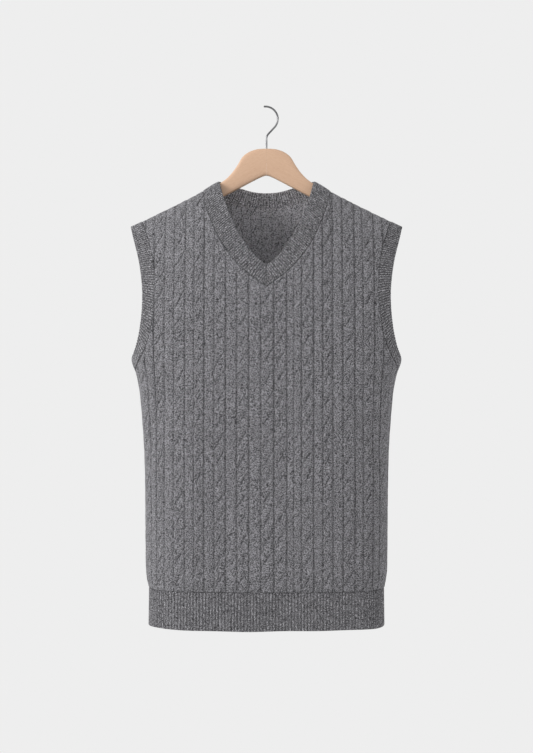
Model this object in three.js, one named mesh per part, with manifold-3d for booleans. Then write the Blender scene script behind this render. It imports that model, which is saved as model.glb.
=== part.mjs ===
// A knitted V-neck sweater vest on a wooden hanger.
// Millimetres: +X is the viewer's right, +Y the back, +Z up. Left and right are as seen from the front.
// The origin is the inside top of the hook, where it hangs on a rail.
import * as THREE from "three";
import { mergeVertices } from "three/addons/utils/BufferGeometryUtils.js";
import Module from "manifold-3d";

const wasm = await Module();
wasm.setup();

// Driving sizes of the cloth
const HEM = -773;
const RIB_TOP = -716;
const WALL = 2;
const BAND_WALL = 1.9;
const CABLE_CREST = 2.4;
const CABLE_GROOVE = 0.9;
const RIB_CREST = 1.7;
const FINE_RIB_CREST = 0.9;
const SEAM_GAP = 0.3;
// A little more where a band follows a bent edge of the panels
const BAND_GAP = 0.6;
const CABLE_REPEAT = 29;
const HEM_RIB_PITCH = 4.6;
const BAND_RIB_PITCH = 4;
const NECK_BAND_WIDTH = 25;
const NECK_BAND_JOINT = 14;
const NECK_BAND_BACK_WIDTH = 21.5;
// Reaches, from front to back, between which the neckband narrows
const NECK_NARROWS = { from: -30, to: 40 };
const ARM_BAND_WIDTH = 21;

// How the body rounds: the corner power of its level sections, and the height over which a shoulder fills out
const ROUNDNESS = 3.3;
const SHOULDER_FALL = 220;
const SECTION_STEPS = 120;
// Heights between which the cloth is searched, and how often the range is halved
const LOWEST = HEM - 20;
const HIGHEST = -90;
const HALVINGS = 40;

// Inside of the body at each height.
// Above the underarm the width is that of the full section, which the armholes cut.
const BODY = [
  { z: -790, halfWidth: 173, halfDepth: 63 },
  { z: -773, halfWidth: 172.8, halfDepth: 63 },
  { z: -716, halfWidth: 172.2, halfDepth: 62.5 },
  { z: -703, halfWidth: 174.4, halfDepth: 65 },
  { z: -688, halfWidth: 176, halfDepth: 66 },
  { z: -595, halfWidth: 177, halfDepth: 66 },
  { z: -523, halfWidth: 178.2, halfDepth: 66 },
  { z: -451, halfWidth: 182.8, halfDepth: 65 },
  { z: -424, halfWidth: 185.6, halfDepth: 64.5 },
  { z: -403, halfWidth: 189.6, halfDepth: 64 },
  { z: -379, halfWidth: 198, halfDepth: 63 },
  { z: -344, halfWidth: 200, halfDepth: 62 },
  { z: -291, halfWidth: 202, halfDepth: 60 },
  { z: -235, halfWidth: 203.5, halfDepth: 58 },
  { z: -178, halfWidth: 206, halfDepth: 56 },
  { z: -90, halfWidth: 207, halfDepth: 54 },
];

// Inside of the shoulder line, out from the centre
const SHOULDER = [
  { x: 0, z: -98 },
  { x: 30, z: -99.5 },
  { x: 52, z: -105 },
  { x: 69, z: -113 },
  { x: 79, z: -118.2 },
  { x: 98, z: -130.2 },
  { x: 121, z: -142.2 },
  { x: 145, z: -154.2 },
  { x: 170, z: -166.2 },
  { x: 195, z: -178.2 },
  { x: 210, z: -185 },
];

// Finished edge of the neckband: the V from its point up to the shoulder, and the back of the neck from there
const NECK_FRONT = [
  { x: 0, z: -241.3 },
  { x: 10.6, z: -233.1 },
  { x: 22.6, z: -220.2 },
  { x: 37.9, z: -197.1 },
  { x: 49.1, z: -174.7 },
  { x: 62.4, z: -140.6 },
];
const NECK_SIDE = 69.5;
const NECK_SIDE_BELOW = { column: 67.9, reach: 17 };
const NECK_BACK = [
  { x: 57, z: -113.5 },
  { x: 38, z: -119 },
  { x: 20, z: -123.4 },
  { x: 0, z: -125 },
];

// Finished edge of the armhole, from the shoulder tip down to the underarm
const ARMHOLE = [
  { x: 200.5, z: -187 },
  { x: 187.2, z: -237 },
  { x: 181.7, z: -291 },
  { x: 187, z: -344 },
  { x: 193.4, z: -366 },
];
const ARM_TIP = 202.5;
const UNDERARM = -379;

// The knitted columns, out from the line where the two middle cables of the front meet
const MIDDLE = 10.8;
const FRONT_RIGHT = [
  { knit: "cable", width: 18.8 },
  { knit: "rib", width: 10 },
  { knit: "rib", width: 11.3 },
  { knit: "cable", width: 17.3 },
  { knit: "rib", width: 13.3 },
  { knit: "cable", width: 14.2 },
  { knit: "rib", width: 15 },
  { knit: "cable", width: 17.3 },
  { knit: "rib", width: 12.6 },
];
const FRONT_LEFT = [
  { knit: "cable", width: 18.7 },
  { knit: "rib", width: 17.5 },
  { knit: "cable", width: 17.3 },
  { knit: "rib", width: 16.3 },
  { knit: "cable", width: 16.5 },
  { knit: "rib", width: 14.8 },
  { knit: "cable", width: 14.5 },
  { knit: "rib", width: 13.3 },
];
const BACK_HALF = [{ knit: "rib", width: 7.5 }];
const SIDE_PAIR = [
  { knit: "cable", width: 16.4 },
  { knit: "rib", width: 14 },
];
// Where a cable's two inner lines lie across it, and the least distance between two lines
const CABLE_LINES = [0.3, 0.7];
const LINE_SPACING = 2;
// The least distance between two points of an outline, and between a row of points and the shoulder line
const CLOSEST = 0.5;
const RIDGE_MARGIN = 0.3;

// Height of a band's fine ribs across it, and how many of its steps lie between two of its inner points
const FINE_RIB_ACROSS = [
  { share: 0, rise: 0.6 },
  { share: 1, rise: 1 },
];
const INNER_ACROSS = [1, 0.5, 0];
const INNER_EVERY = 4;
// Reach from the shoulder line within which edges bend over it and take closer points
const OVER_SHOULDER = 14;
// Millimetres between the points kept of an outline
const OUTLINE_EVERY = 5;
const OUTLINE_EVERY_NEAR = 2;
// Steps of the hem rib between two of its inner points
const HEM_INNER_EVERY = 5;

// Heights of the rows of points on the walls, and distances from the shoulder line near it
const OUTER_ROWS = [-702, -688, -600, -510, -445, -410, -380, -330, -280, -230];
const INNER_ROWS = [-690, -580, -470, -395, -300];
const OUTER_SHOULDER_ROWS = [7, 18, 42];
const INNER_SHOULDER_ROWS = [3.5, 11, 30, 62];

// Driving sizes of the hanger
const WOOD_THICKNESS = 12;
const WOOD_ROUNDING = 5;
const WOOD_CLEARANCE = 0.8;
const ARM_END = 190;
const WIRE = 2.8;
const WIRE_CLEARANCE = 0.15;
const HOOK_RADIUS = 18.6;
const HOOK_OFFSET = -1.6;
const HOOK_TIP_ANGLE = 99;
const BEND_RADIUS = 12;
const STEM_TOP = -47.5;
const STEM_FOOT = -84;
const BORE_SIDES = 16;
const WIRE_SIDES = 10;
const HOOK_STEPS = 14;
const BEND_STEPS = 4;
const SLANT_ANGLE = 45;

const KNIT = { color: 0x6f6e73, roughness: 0.95, metalness: 0 };
const BEECH = { color: 0xd4b095, roughness: 0.55, metalness: 0 };
const STEEL = { color: 0x8a8a8c, roughness: 0.3, metalness: 1 };

// A curve through the rows of a table that never overshoots between two rows.
function smoothTable(rows, from, to, flatStart = false) {
  const x = rows.map((row) => row[from]);
  const y = rows.map((row) => row[to]);
  const last = x.length - 1;
  const rise = x.slice(1).map((value, i) => (y[i + 1] - y[i]) / (value - x[i]));
  const slope = x.map((_, i) => {
    if (i === 0) return flatStart ? 0 : rise[0];
    if (i === last) return rise[last - 1];
    return rise[i - 1] * rise[i] <= 0 ? 0 : (2 * rise[i - 1] * rise[i]) / (rise[i - 1] + rise[i]);
  });
  return (value) => {
    const v = Math.min(Math.max(value, x[0]), x[last]);
    let i = 0;
    while (i < last - 1 && v > x[i + 1]) i += 1;
    const span = x[i + 1] - x[i];
    const t = (v - x[i]) / span;
    const blend = t * t * (3 - 2 * t);
    const startPull = span * slope[i] * t * (1 - t) ** 2;
    const endPull = span * slope[i + 1] * t * t * (1 - t);
    return y[i] + (y[i + 1] - y[i]) * blend + startPull - endPull;
  };
}

const halfWidthAt = smoothTable(BODY, "z", "halfWidth");
const halfDepthAt = smoothTable(BODY, "z", "halfDepth");
const shoulderTable = smoothTable(SHOULDER, "x", "z", true);
const shoulderAt = (x) => shoulderTable(Math.abs(x));

// Straight-line reading of one list against another that rises with it.
function readAlong(keys, values, key) {
  let low = 0;
  let high = keys.length - 1;
  while (high - low > 1) {
    const middle = (low + high) >> 1;
    if (keys[middle] <= key) low = middle;
    else high = middle;
  }
  const share = (key - keys[low]) / (keys[high] - keys[low] || 1);
  return values[low] + (values[high] - values[low]) * Math.min(Math.max(share, 0), 1);
}

// A quarter of the level section at height z, with the way round it from the centre to the side.
function sectionAt(z) {
  const width = halfWidthAt(z);
  const depth = halfDepthAt(z);
  const x = [0];
  const y = [depth];
  const round = [0];
  for (let i = 1; i <= SECTION_STEPS; i += 1) {
    const turn = ((1 - Math.cos((Math.PI * i) / SECTION_STEPS)) * Math.PI) / 4;
    x.push(width * Math.sin(turn) ** (2 / ROUNDNESS));
    y.push(i === SECTION_STEPS ? 0 : depth * Math.cos(turn) ** (2 / ROUNDNESS));
    round.push(round[i - 1] + Math.hypot(x[i] - x[i - 1], y[i] - y[i - 1]));
  }
  return { x, y, round };
}

// A column keeps its distance from the centre up to STRAIGHT.
// Beyond it, the columns share the way to the side seam.
const STRAIGHT = 150;
const SIDE = sectionAt(UNDERARM).round[SECTION_STEPS];
function wayRound(section, column) {
  const half = section.round[SECTION_STEPS];
  if (column <= STRAIGHT) return column;
  return STRAIGHT + ((column - STRAIGHT) * (half - STRAIGHT)) / (SIDE - STRAIGHT);
}
function columnAt(x, z) {
  const section = sectionAt(z);
  const way = readAlong(section.x, section.round, x);
  if (way <= STRAIGHT) return way;
  return STRAIGHT + ((way - STRAIGHT) * (SIDE - STRAIGHT)) / (section.round[SECTION_STEPS] - STRAIGHT);
}

// Share of the full depth that the cloth has reached at a height below the shoulder line: a quarter ellipse.
function fullnessAt(x, z) {
  const fall = Math.min(Math.max(shoulderAt(x) - z, 0), SHOULDER_FALL) / SHOULDER_FALL;
  return Math.sqrt(1 - (1 - fall) ** 2);
}

// Inside of the cloth at a column and a height.
// Gives the distance out from the centre, the depth, the reach from the shoulder line and the height over it.
function insideAt(column, z) {
  const section = sectionAt(z);
  const way = wayRound(section, Math.abs(column));
  const x = readAlong(section.round, section.x, way);
  const y = readAlong(section.round, section.y, way) * fullnessAt(x, z);
  const over = z - shoulderAt(x);
  return { x: Math.sign(column) * x, y, reach: Math.hypot(Math.min(over, 0), y), over };
}

// Height at which a column has a given reach from the shoulder line, measured over the cloth.
function heightAt(column, reach) {
  let low = LOWEST;
  let high = HIGHEST;
  for (let i = 0; i < HALVINGS; i += 1) {
    const middle = (low + high) / 2;
    const there = insideAt(column, middle);
    if (there.over < 0 && there.reach > reach) low = middle;
    else high = middle;
  }
  return (low + high) / 2;
}

// Unit normal of the inside surface, out of the garment, from the slope of its implicit form.
const SLOPE_STEP = 0.002;
function outwardAt(point) {
  const form = (x, y, z) => {
    const depth = (halfDepthAt(z) * fullnessAt(x, z)) ** ROUNDNESS;
    return Math.abs(y) ** ROUNDNESS - depth * (1 - (Math.abs(x) / halfWidthAt(z)) ** ROUNDNESS);
  };
  const step = SLOPE_STEP;
  const { x, y, z } = point;
  return new THREE.Vector3(
    form(x + step, y, z) - form(x - step, y, z),
    form(x, y + step, z) - form(x, y - step, z),
    form(x, y, z + step) - form(x, y, z - step),
  ).normalize();
}

// A point of the cloth: face is -1 on the front and 1 on the back, and out is its distance from the inside.
function clothPoint(face, column, z, out) {
  const there = insideAt(column, z);
  const point = new THREE.Vector3(there.x, face * Math.max(there.y, SEAM_GAP / 2), z);
  return point.addScaledVector(outwardAt(point), out);
}

// Collects points and triangles, and turns them outwards at the end.
class Solid {
  constructor() {
    this.points = [];
    this.triangles = [];
  }
  add(point) {
    this.points.push(point);
    return this.points.length - 1;
  }
  face(a, b, c) {
    if (a !== b && b !== c && c !== a) this.triangles.push([a, b, c]);
  }
  // Triangles between two chains of entries { id, key, bent }. The next point has the shorter diagonal.
  // Where a chain bends across to meet the other, the points are taken in the order of their keys instead.
  zip(left, right, turned = false) {
    const straight = [left, right].map((chain) => chain.filter(({ bent }) => !bent));
    const bothRun = straight.every((chain) => chain.length > 0);
    const floor = bothRun ? Math.max(...straight.map((chain) => chain[0].key)) : Infinity;
    const level = bothRun ? Math.min(...straight.map((chain) => chain[chain.length - 1].key)) : -Infinity;
    let i = 0;
    let j = 0;
    while (i < left.length - 1 || j < right.length - 1) {
      const [a, b, nextA, nextB] = [left[i], right[j], left[i + 1], right[j + 1]];
      let takeLeft = !nextB;
      if (nextA && nextB) {
        const free = Math.min(a.key, b.key) >= floor && Math.max(nextA.key, nextB.key) <= level;
        takeLeft = free
          ? Math.abs(nextA.key - b.key) <= Math.abs(nextB.key - a.key)
          : nextA.key <= nextB.key;
      }
      const c = takeLeft ? nextA : nextB;
      if (turned) this.face(b.id, a.id, c.id);
      else this.face(a.id, b.id, c.id);
      if (takeLeft) i += 1;
      else j += 1;
    }
  }
  geometry() {
    const volume = this.triangles.reduce((sum, [a, b, c]) => {
      const cross = this.points[b].clone().cross(this.points[c]);
      return sum + this.points[a].dot(cross);
    }, 0);
    const index = this.triangles.flatMap(([a, b, c]) => (volume > 0 ? [a, b, c] : [a, c, b]));
    const geometry = new THREE.BufferGeometry();
    const places = this.points.flatMap((point) => point.toArray());
    geometry.setAttribute("position", new THREE.Float32BufferAttribute(places, 3));
    geometry.setIndex(index);
    geometry.computeVertexNormals();
    return geometry;
  }
}

// Closes a band from long rows of points that go round its cross-section.
// A ring joins its ends, and others are capped.
function bandSolid(rows, ring) {
  const solid = new Solid();
  const chains = rows.map((row) => {
    const chain = row.map(({ point, key }) => ({ id: solid.add(point), key }));
    if (ring) chain.push({ id: chain[0].id, key: Infinity });
    return chain;
  });
  chains.forEach((chain, i) => solid.zip(chain, chains[(i + 1) % chains.length]));
  if (!ring) {
    const first = chains.map((chain) => chain[0].id);
    const last = chains.map((chain) => chain[chain.length - 1].id);
    for (let i = 1; i < chains.length - 1; i += 1) {
      solid.face(first[0], first[i + 1], first[i]);
      solid.face(last[0], last[i], last[i + 1]);
    }
  }
  return solid.geometry();
}

// Flat layout of the cloth: column across, and reach, negative on the front and positive on the back.
const layoutPoint = (x, z, face) => {
  const column = columnAt(x, z);
  return new THREE.Vector3(column, face * insideAt(column, z).reach, 0);
};
function pointOnLayout(spot, out) {
  const column = Math.sign(spot.x) * Math.min(Math.abs(spot.x), SIDE);
  return clothPoint(Math.sign(spot.y), column, heightAt(column, Math.abs(spot.y)), out);
}

// Points about a millimetre apart on a smooth curve through places in the layout.
function smoothPath(places) {
  const curve = new THREE.CatmullRomCurve3(places, false, "centripetal");
  return curve.getSpacedPoints(Math.round(curve.getLength()));
}

// Each point of a path with the direction along it and the one across it, to the right of the way it runs.
function withDirections(path) {
  return path.map((spot, i) => {
    const along = path[Math.min(i + 1, path.length - 1)].clone().sub(path[Math.max(i - 1, 0)]).normalize();
    return { spot, along, across: new THREE.Vector3(along.y, -along.x, 0) };
  });
}

// Evenly spaced points of a path, both ends included.
function resample(path, count) {
  const ways = [0];
  for (let i = 1; i < path.length; i += 1) ways.push(ways[i - 1] + path[i].distanceTo(path[i - 1]));
  return Array.from({ length: count + 1 }, (_, k) => {
    const way = (ways[ways.length - 1] * k) / count;
    const i = Math.min(ways.findIndex((w, n) => n > 0 && w >= way - 1e-9) - 1, path.length - 2);
    return path[i].clone().lerp(path[i + 1], (way - ways[i]) / (ways[i + 1] - ways[i]));
  });
}
const lengthOf = (path) => path.slice(1).reduce((sum, spot, i) => sum + spot.distanceTo(path[i]), 0);

// Right half of the neck edge, from the point of the V over the shoulder to the centre of the back.
const mirror = (spot, x = -1, y = 1) => new THREE.Vector3(spot.x * x, spot.y * y, 0);
const neckPlaces = [
  ...NECK_FRONT.map(({ x, z }) => layoutPoint(x, z, -1)),
  new THREE.Vector3(NECK_SIDE_BELOW.column, -NECK_SIDE_BELOW.reach, 0),
  new THREE.Vector3(NECK_SIDE, 0, 0),
  ...NECK_BACK.map(({ x, z }) => layoutPoint(x, z, 1)),
];
const neckEdge = [
  neckPlaces[0],
  ...smoothPath([...neckPlaces, mirror(neckPlaces[neckPlaces.length - 2])]).filter(({ x }) => x > CLOSEST),
  neckPlaces[neckPlaces.length - 1],
];
const neckWidthAt = (reach) =>
  THREE.MathUtils.lerp(
    NECK_BAND_WIDTH,
    NECK_BAND_BACK_WIDTH,
    THREE.MathUtils.smoothstep(reach, NECK_NARROWS.from, NECK_NARROWS.to),
  );

// The neck edge in steps of a millimetre, run on straight past the point of the V as the mitre needs.
const neckCurve = withDirections(neckEdge);
const [vee] = neckCurve;
const mitreRun = Math.ceil(((NECK_BAND_WIDTH + 1) * vee.across.x) / vee.along.x);
const neckPath = [
  ...Array.from({ length: mitreRun }, (_, i) => ({
    ...vee,
    spot: vee.spot.clone().addScaledVector(vee.along, i - mitreRun),
  })),
  ...neckCurve,
];

// Right armhole edge on the front, from the shoulder tip to the side. The back of it mirrors this.
const armPlaces = [
  new THREE.Vector3(columnAt(ARM_TIP, shoulderAt(ARM_TIP)), 0, 0),
  ...ARMHOLE.map(({ x, z }) => layoutPoint(x, z, -1)),
  new THREE.Vector3(SIDE, -insideAt(SIDE, UNDERARM).reach, 0),
];
const beforeTip = mirror(armPlaces[1], 1, -1);
const beforeSide = armPlaces[armPlaces.length - 2];
const pastSide = new THREE.Vector3(2 * SIDE - beforeSide.x, beforeSide.y, 0);
const armEdge = [
  armPlaces[0],
  ...smoothPath([beforeTip, ...armPlaces, pastSide]).filter(({ x, y }) => y < -CLOSEST && x < SIDE - CLOSEST),
  armPlaces[armPlaces.length - 1],
];

// Where the panels meet the bands: an edge moved across, up to the centre lines, the tip and the side.
function neckSeam(gap) {
  const moved = neckPath.map(({ spot, across }) =>
    spot.clone().addScaledVector(across, neckWidthAt(spot.y) + gap),
  );
  const first = moved.findIndex(({ x }) => x > CLOSEST);
  const [before, after] = [moved[first - 1], moved[first]];
  const point = before.clone().lerp(after, before.x / (before.x - after.x));
  const rest = moved.slice(first).filter(({ x }) => x > CLOSEST);
  return [point, ...rest, new THREE.Vector3(0, moved[moved.length - 1].y, 0)];
}
const TIP_SLOPE_OVER = 4;
function armSeam(width) {
  const moved = withDirections(armEdge).map(({ spot, across }) =>
    spot.clone().addScaledVector(across, width),
  );
  const kept = moved.filter(({ x, y }) => y < -RIDGE_MARGIN && x < SIDE - CLOSEST);
  const [first, further] = [kept[0], kept[TIP_SLOPE_OVER]];
  const tip = first.clone().lerp(further, first.y / (first.y - further.y));
  return [tip, ...kept, new THREE.Vector3(SIDE, kept[kept.length - 1].y, 0)];
}

// Panel outline of one face, for columns right of the centre, as columns and reaches from the shoulder line.
function outlineOf(face) {
  const seam = neckSeam(BAND_GAP);
  const over = seam.findIndex(({ y }) => y >= 0);
  const [before, after] = [seam[over - 1], seam[over]];
  const corner = before.clone().lerp(after, before.y / (before.y - after.y));
  const neck = face < 0 ? [...seam.slice(0, over), corner] : [corner, ...seam.slice(over)].reverse();
  const arm = armSeam(ARM_BAND_WIDTH + BAND_GAP);
  const narrowest = arm.reduce((least, spot, i) => (spot.x < arm[least].x ? i : least), 0);
  const asRows = (path) => path.map(({ x, y }) => ({ column: x, reach: Math.abs(y) }));
  const thinned = (path) =>
    path.filter(({ reach }, i) => {
      const every = reach < OVER_SHOULDER ? OUTLINE_EVERY_NEAR : OUTLINE_EVERY;
      return i === 0 || i === path.length - 1 || i % every === 0;
    });
  let widest = 0;
  const neckRows = asRows(neck).map(({ column, reach }) => {
    widest = Math.max(widest, column);
    return { column: widest, reach };
  });
  return {
    neck: thinned(neckRows),
    armUpper: thinned(asRows(arm.slice(0, narrowest + 1))),
    armLower: thinned(asRows(arm.slice(narrowest))),
  };
}

// The columns of one half as lines of points: valleys, the two lines on a cable and the crest of a rib.
function columnCells(start, rows, side) {
  const cells = [];
  let from = start;
  const next = rows[rows.length - 1].knit === "cable" ? 1 : 0;
  for (let i = 0; from <= SIDE + MIDDLE; i += 1) {
    const { knit, width } = i < rows.length ? rows[i] : SIDE_PAIR[(i - rows.length + next) % 2];
    cells.push({ knit, from, to: from + width });
    from += width;
  }
  return cells.map((cell) =>
    side > 0 ? cell : { ...cell, from: 2 * start - cell.to, to: 2 * start - cell.from },
  );
}
const frontCells = [...columnCells(MIDDLE, FRONT_LEFT, -1).reverse(), ...columnCells(MIDDLE, FRONT_RIGHT, 1)];
const backCells = [...columnCells(0, BACK_HALF, -1).reverse(), ...columnCells(0, BACK_HALF, 1)];

// Height of the knit over a valley. A cable is a hump crossed by strands that lean up to the right.
function riseAt(cells, column, z) {
  const cell = cells.find(({ from, to }) => column >= from && column < to);
  if (!cell) return 0;
  const u = (column - cell.from) / (cell.to - cell.from);
  if (cell.knit === "rib") return RIB_CREST * (1 - Math.abs(2 * u - 1));
  const hump = Math.min(1, u / CABLE_LINES[0], (1 - u) / CABLE_LINES[0]);
  const strand = 0.5 + 0.5 * Math.cos(2 * Math.PI * (z / CABLE_REPEAT - u));
  return hump * (CABLE_GROOVE + (CABLE_CREST - CABLE_GROOVE) * strand);
}

// Lines of points up a panel: valleys, crests of ribs and two on each cable, clear of the special columns.
function panelLines(cells, columns, corner) {
  const lines = cells.flatMap(({ knit, from, to }) => {
    const inner = knit === "rib" ? [{ share: 0.5 }] : CABLE_LINES.map((share) => ({ share, strand: share }));
    const across = [{ share: 0 }, ...inner];
    return across.map(({ share, strand }) => ({ column: from + (to - from) * share, strand }));
  });
  const avoid = [...columns, corner];
  const clear = ({ column }) => avoid.every((other) => Math.abs(Math.abs(column) - other) > LINE_SPACING);
  const kept = lines.filter(clear);
  const special = columns.flatMap((column) => (column === 0 ? [0] : [column, -column]));
  return [...kept.filter(({ column }) => Math.abs(column) < SIDE), ...special.map((column) => ({ column }))]
    .sort((a, b) => a.column - b.column);
}

// Heights of the points between the ends of a line. A cable's lines have them on and between its strands.
function rowsOf({ column, strand }, outer) {
  const reaches = outer ? OUTER_SHOULDER_ROWS : INNER_SHOULDER_ROWS;
  const nearShoulder = reaches.map((reach) => heightAt(column, reach));
  const limit = Math.min(...nearShoulder) - LINE_SPACING * 3;
  let rows = outer || Math.abs(column) === SIDE ? OUTER_ROWS : INNER_ROWS;
  if (outer && strand !== undefined) {
    const first = Math.ceil(RIB_TOP / CABLE_REPEAT) - 1;
    rows = Array.from({ length: -2 * first }, (_, i) => (first + strand + i / 2) * CABLE_REPEAT);
  }
  return [...rows.filter((z) => z < limit), ...nearShoulder.reverse()];
}

// One panel: lines of points from the rib up to the neck seam, the shoulder or the armhole.
// They are zipped into an outer face and a plain inner one, and a rim closes the edge.
// Points of the outline between two lines join a chain beside them.
function panelGeometry(face, cells) {
  const { neck, armUpper, armLower } = outlineOf(face);
  const neckCorner = neck[neck.length - 1].column;
  const armCorner = armUpper[0].column;
  const wholeTo = armLower[0].column - LINE_SPACING;
  const lines = panelLines(cells, [0, neckCorner + LINE_SPACING, wholeTo, SIDE], armCorner);
  const bottom = RIB_TOP + SEAM_GAP / 2;
  const solid = new Solid();
  const reachOn = (path, column) => {
    const sorted = [...path].sort((a, b) => a.column - b.column);
    return readAlong(sorted.map((p) => p.column), sorted.map((p) => p.reach), column);
  };

  const skin = (outer) => {
    const ids = new Map();
    const entry = (column, z) => {
      const name = `${column.toFixed(3)} ${z.toFixed(3)}`;
      if (!ids.has(name)) {
        const out = outer ? WALL + riseAt(cells, column, z) : 0;
        ids.set(name, solid.add(clothPoint(face, column, z, out)));
      }
      return { id: ids.get(name), key: -insideAt(column, z).reach };
    };
    const heightOn = (column, reach) => heightAt(column, Math.max(reach, SEAM_GAP / 2));
    const stretch = (line, low, high) => {
      const margin = high > heightAt(line.column, 1) ? RIDGE_MARGIN : LINE_SPACING;
      const rows = rowsOf(line, outer).filter((z) => z > low + LINE_SPACING && z < high - margin);
      return [low, ...rows, high].map((z) => entry(line.column, z));
    };
    const beside = (path, sign, from, to) =>
      path
        .filter(({ column }) => column > from + RIDGE_MARGIN && column < to - RIDGE_MARGIN)
        .map(({ column, reach }) => entry(sign * column, heightOn(column, reach)))
        .sort((a, b) => a.key - b.key);
    const bend = (entries) => entries.map((one) => ({ ...one, bent: true }));
    const chains = lines.map((line) => {
      const column = Math.abs(line.column);
      const top = heightOn(column, column <= neckCorner ? reachOn(neck, column) : 0);
      if (column <= wholeTo) return { line, whole: stretch(line, bottom, top) };
      const lower = stretch(line, bottom, heightOn(column, reachOn(armLower, column)));
      if (column > armCorner) return { line, lower };
      return { line, lower, upper: stretch(line, heightOn(column, reachOn(armUpper, column)), top) };
    });
    chains.slice(1).forEach((right, i) => {
      const left = chains[i];
      const sign = Math.sign(left.line.column + right.line.column);
      const [near, far] = sign > 0 ? [left, right] : [right, left];
      const mids = (path) => beside(path, sign, Math.abs(near.line.column), Math.abs(far.line.column));
      const join = (one, two) => (sign > 0 ? solid.zip(one, two, !outer) : solid.zip(two, one, !outer));
      if (far.whole) {
        const rising = mids(neck);
        const leans = outer && left.line.strand === CABLE_LINES[0] && right.line.strand === CABLE_LINES[1];
        const lean = leans && !rising.length ? sign * CABLE_REPEAT * (CABLE_LINES[1] - CABLE_LINES[0]) : 0;
        const meeting = rising.length ? bend([...rising, far.whole[far.whole.length - 1]]) : [];
        join([...near.whole, ...meeting], far.whole.map(({ id, key }) => ({ id, key: key - lean })));
      } else if (near.whole) {
        join(near.whole, [...far.lower, ...mids(armLower), ...mids(armUpper.slice(0, -1)), ...far.upper]);
      } else {
        const falling = mids(armLower);
        const meeting = falling.length ? bend([...falling, near.lower[near.lower.length - 1]]) : [];
        join(near.lower, [...far.lower, ...meeting]);
        if (near.upper) {
          const leaving = bend([near.upper[0], ...mids(armUpper)]);
          join(near.upper, [...leaving, ...(far.upper ?? bend(near.upper.slice(-1)))]);
        }
      }
    });
    return ids;
  };

  const outerIds = skin(true);
  const edges = new Set(solid.triangles.flatMap(([a, b, c]) => [`${a} ${b}`, `${b} ${c}`, `${c} ${a}`]));
  const innerIds = skin(false);
  const twin = new Map([...outerIds].map(([name, id]) => [id, innerIds.get(name)]));
  edges.forEach((edge) => {
    const [a, b] = edge.split(" ").map(Number);
    if (edges.has(`${b} ${a}`)) return;
    solid.face(b, a, twin.get(a));
    solid.face(b, twin.get(a), twin.get(b));
  });
  return solid.geometry();
}

// Rows of a ribbed band: outer lines that follow its fine ribs, and plain inner lines with fewer points.
function bandRows(steps, place) {
  const outer = FINE_RIB_ACROSS.map(({ share, rise }) =>
    steps.map((at, key) => {
      const crest = key % 2 ? 0 : FINE_RIB_CREST * rise;
      return { point: place(at, share, BAND_WALL + crest), key };
    }),
  );
  const needed = ({ at, key }) =>
    key % INNER_EVERY === 0 || key === steps.length - 1 || Math.abs(at.spot.y) < OVER_SHOULDER;
  const inner = INNER_ACROSS.map((share) =>
    steps
      .map((at, key) => ({ at, key }))
      .filter(needed)
      .map(({ at, key }) => ({ point: place(at, share, 0), key })),
  );
  return [...outer, ...inner];
}

// The neckband in three stretches: from the mitre under the V over each shoulder, and behind the neck.
const neckSteps = neckPath.filter((_, i) => (i - mitreRun) % (BAND_RIB_PITCH / 2) === 0);
const neckFrontSteps = neckSteps.filter(({ spot }) => spot.y < NECK_BAND_JOINT);
function neckFrontGeometry(side) {
  const startOf = ({ spot, across }) => Math.max(0, (SEAM_GAP / 2 - spot.x) / across.x);
  const place = (at, share, out) => {
    const width = startOf(at) + (neckWidthAt(at.spot.y) - startOf(at)) * share;
    return pointOnLayout(mirror(at.spot.clone().addScaledVector(at.across, width), side), out);
  };
  const steps = neckFrontSteps.filter((at) => startOf(at) < NECK_BAND_WIDTH - 1);
  return bandSolid(bandRows(steps, place), false);
}
function neckBackGeometry() {
  const end = neckFrontSteps[neckFrontSteps.length - 1];
  const start = { ...end, spot: end.spot.clone().addScaledVector(end.along, 2 * SEAM_GAP) };
  const right = [start, ...neckSteps.filter(({ spot }) => spot.y >= NECK_BAND_JOINT)];
  const left = right
    .slice(0, -1)
    .reverse()
    .map(({ spot, across }) => ({ spot: mirror(spot), across: mirror(across) }));
  const place = (at, share, out) =>
    pointOnLayout(at.spot.clone().addScaledVector(at.across, neckWidthAt(at.spot.y) * share), out);
  return bandSolid(bandRows([...right, ...left], place), false);
}

// An armhole band: one ring from the shoulder tip down the front, under the arm and up the back.
function armBandGeometry(side) {
  const count = 2 * Math.round(lengthOf(armEdge) / BAND_RIB_PITCH);
  const seam = resample(armSeam(ARM_BAND_WIDTH), count);
  const front = resample(armEdge, count).map((spot, i) => ({ spot, seam: seam[i] }));
  const back = front
    .slice(1, -1)
    .reverse()
    .map((at) => ({ spot: mirror(at.spot, 1, -1), seam: mirror(at.seam, 1, -1) }));
  const place = (at, share, out) => pointOnLayout(mirror(at.spot.clone().lerp(at.seam, share), side), out);
  return bandSolid(bandRows([...front, ...back], place), true);
}

// Half of the hem rib, from one side seam round to the other.
function hemRibGeometry(face) {
  const count = 2 * Math.round((2 * SIDE) / HEM_RIB_PITCH);
  const columns = Array.from({ length: count + 1 }, (_, k) => -SIDE + (2 * SIDE * k) / count);
  const top = RIB_TOP - SEAM_GAP / 2;
  const row = (z, outAt, keep) =>
    columns
      .map((column, key) => ({ point: clothPoint(face, column, z, outAt(key)), key }))
      .filter(({ key }) => keep(key));
  const ribbed = (k) => BAND_WALL + (k % 2 ? FINE_RIB_CREST : 0);
  const every = () => true;
  const some = (k) => k % HEM_INNER_EVERY === 0 || k === count;
  const outer = [row(HEM, ribbed, every), row(top, ribbed, every)];
  const inner = [row(top, () => 0, some), row(HEM, () => 0, some)];
  return bandSolid([...outer, ...inner], false);
}

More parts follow.
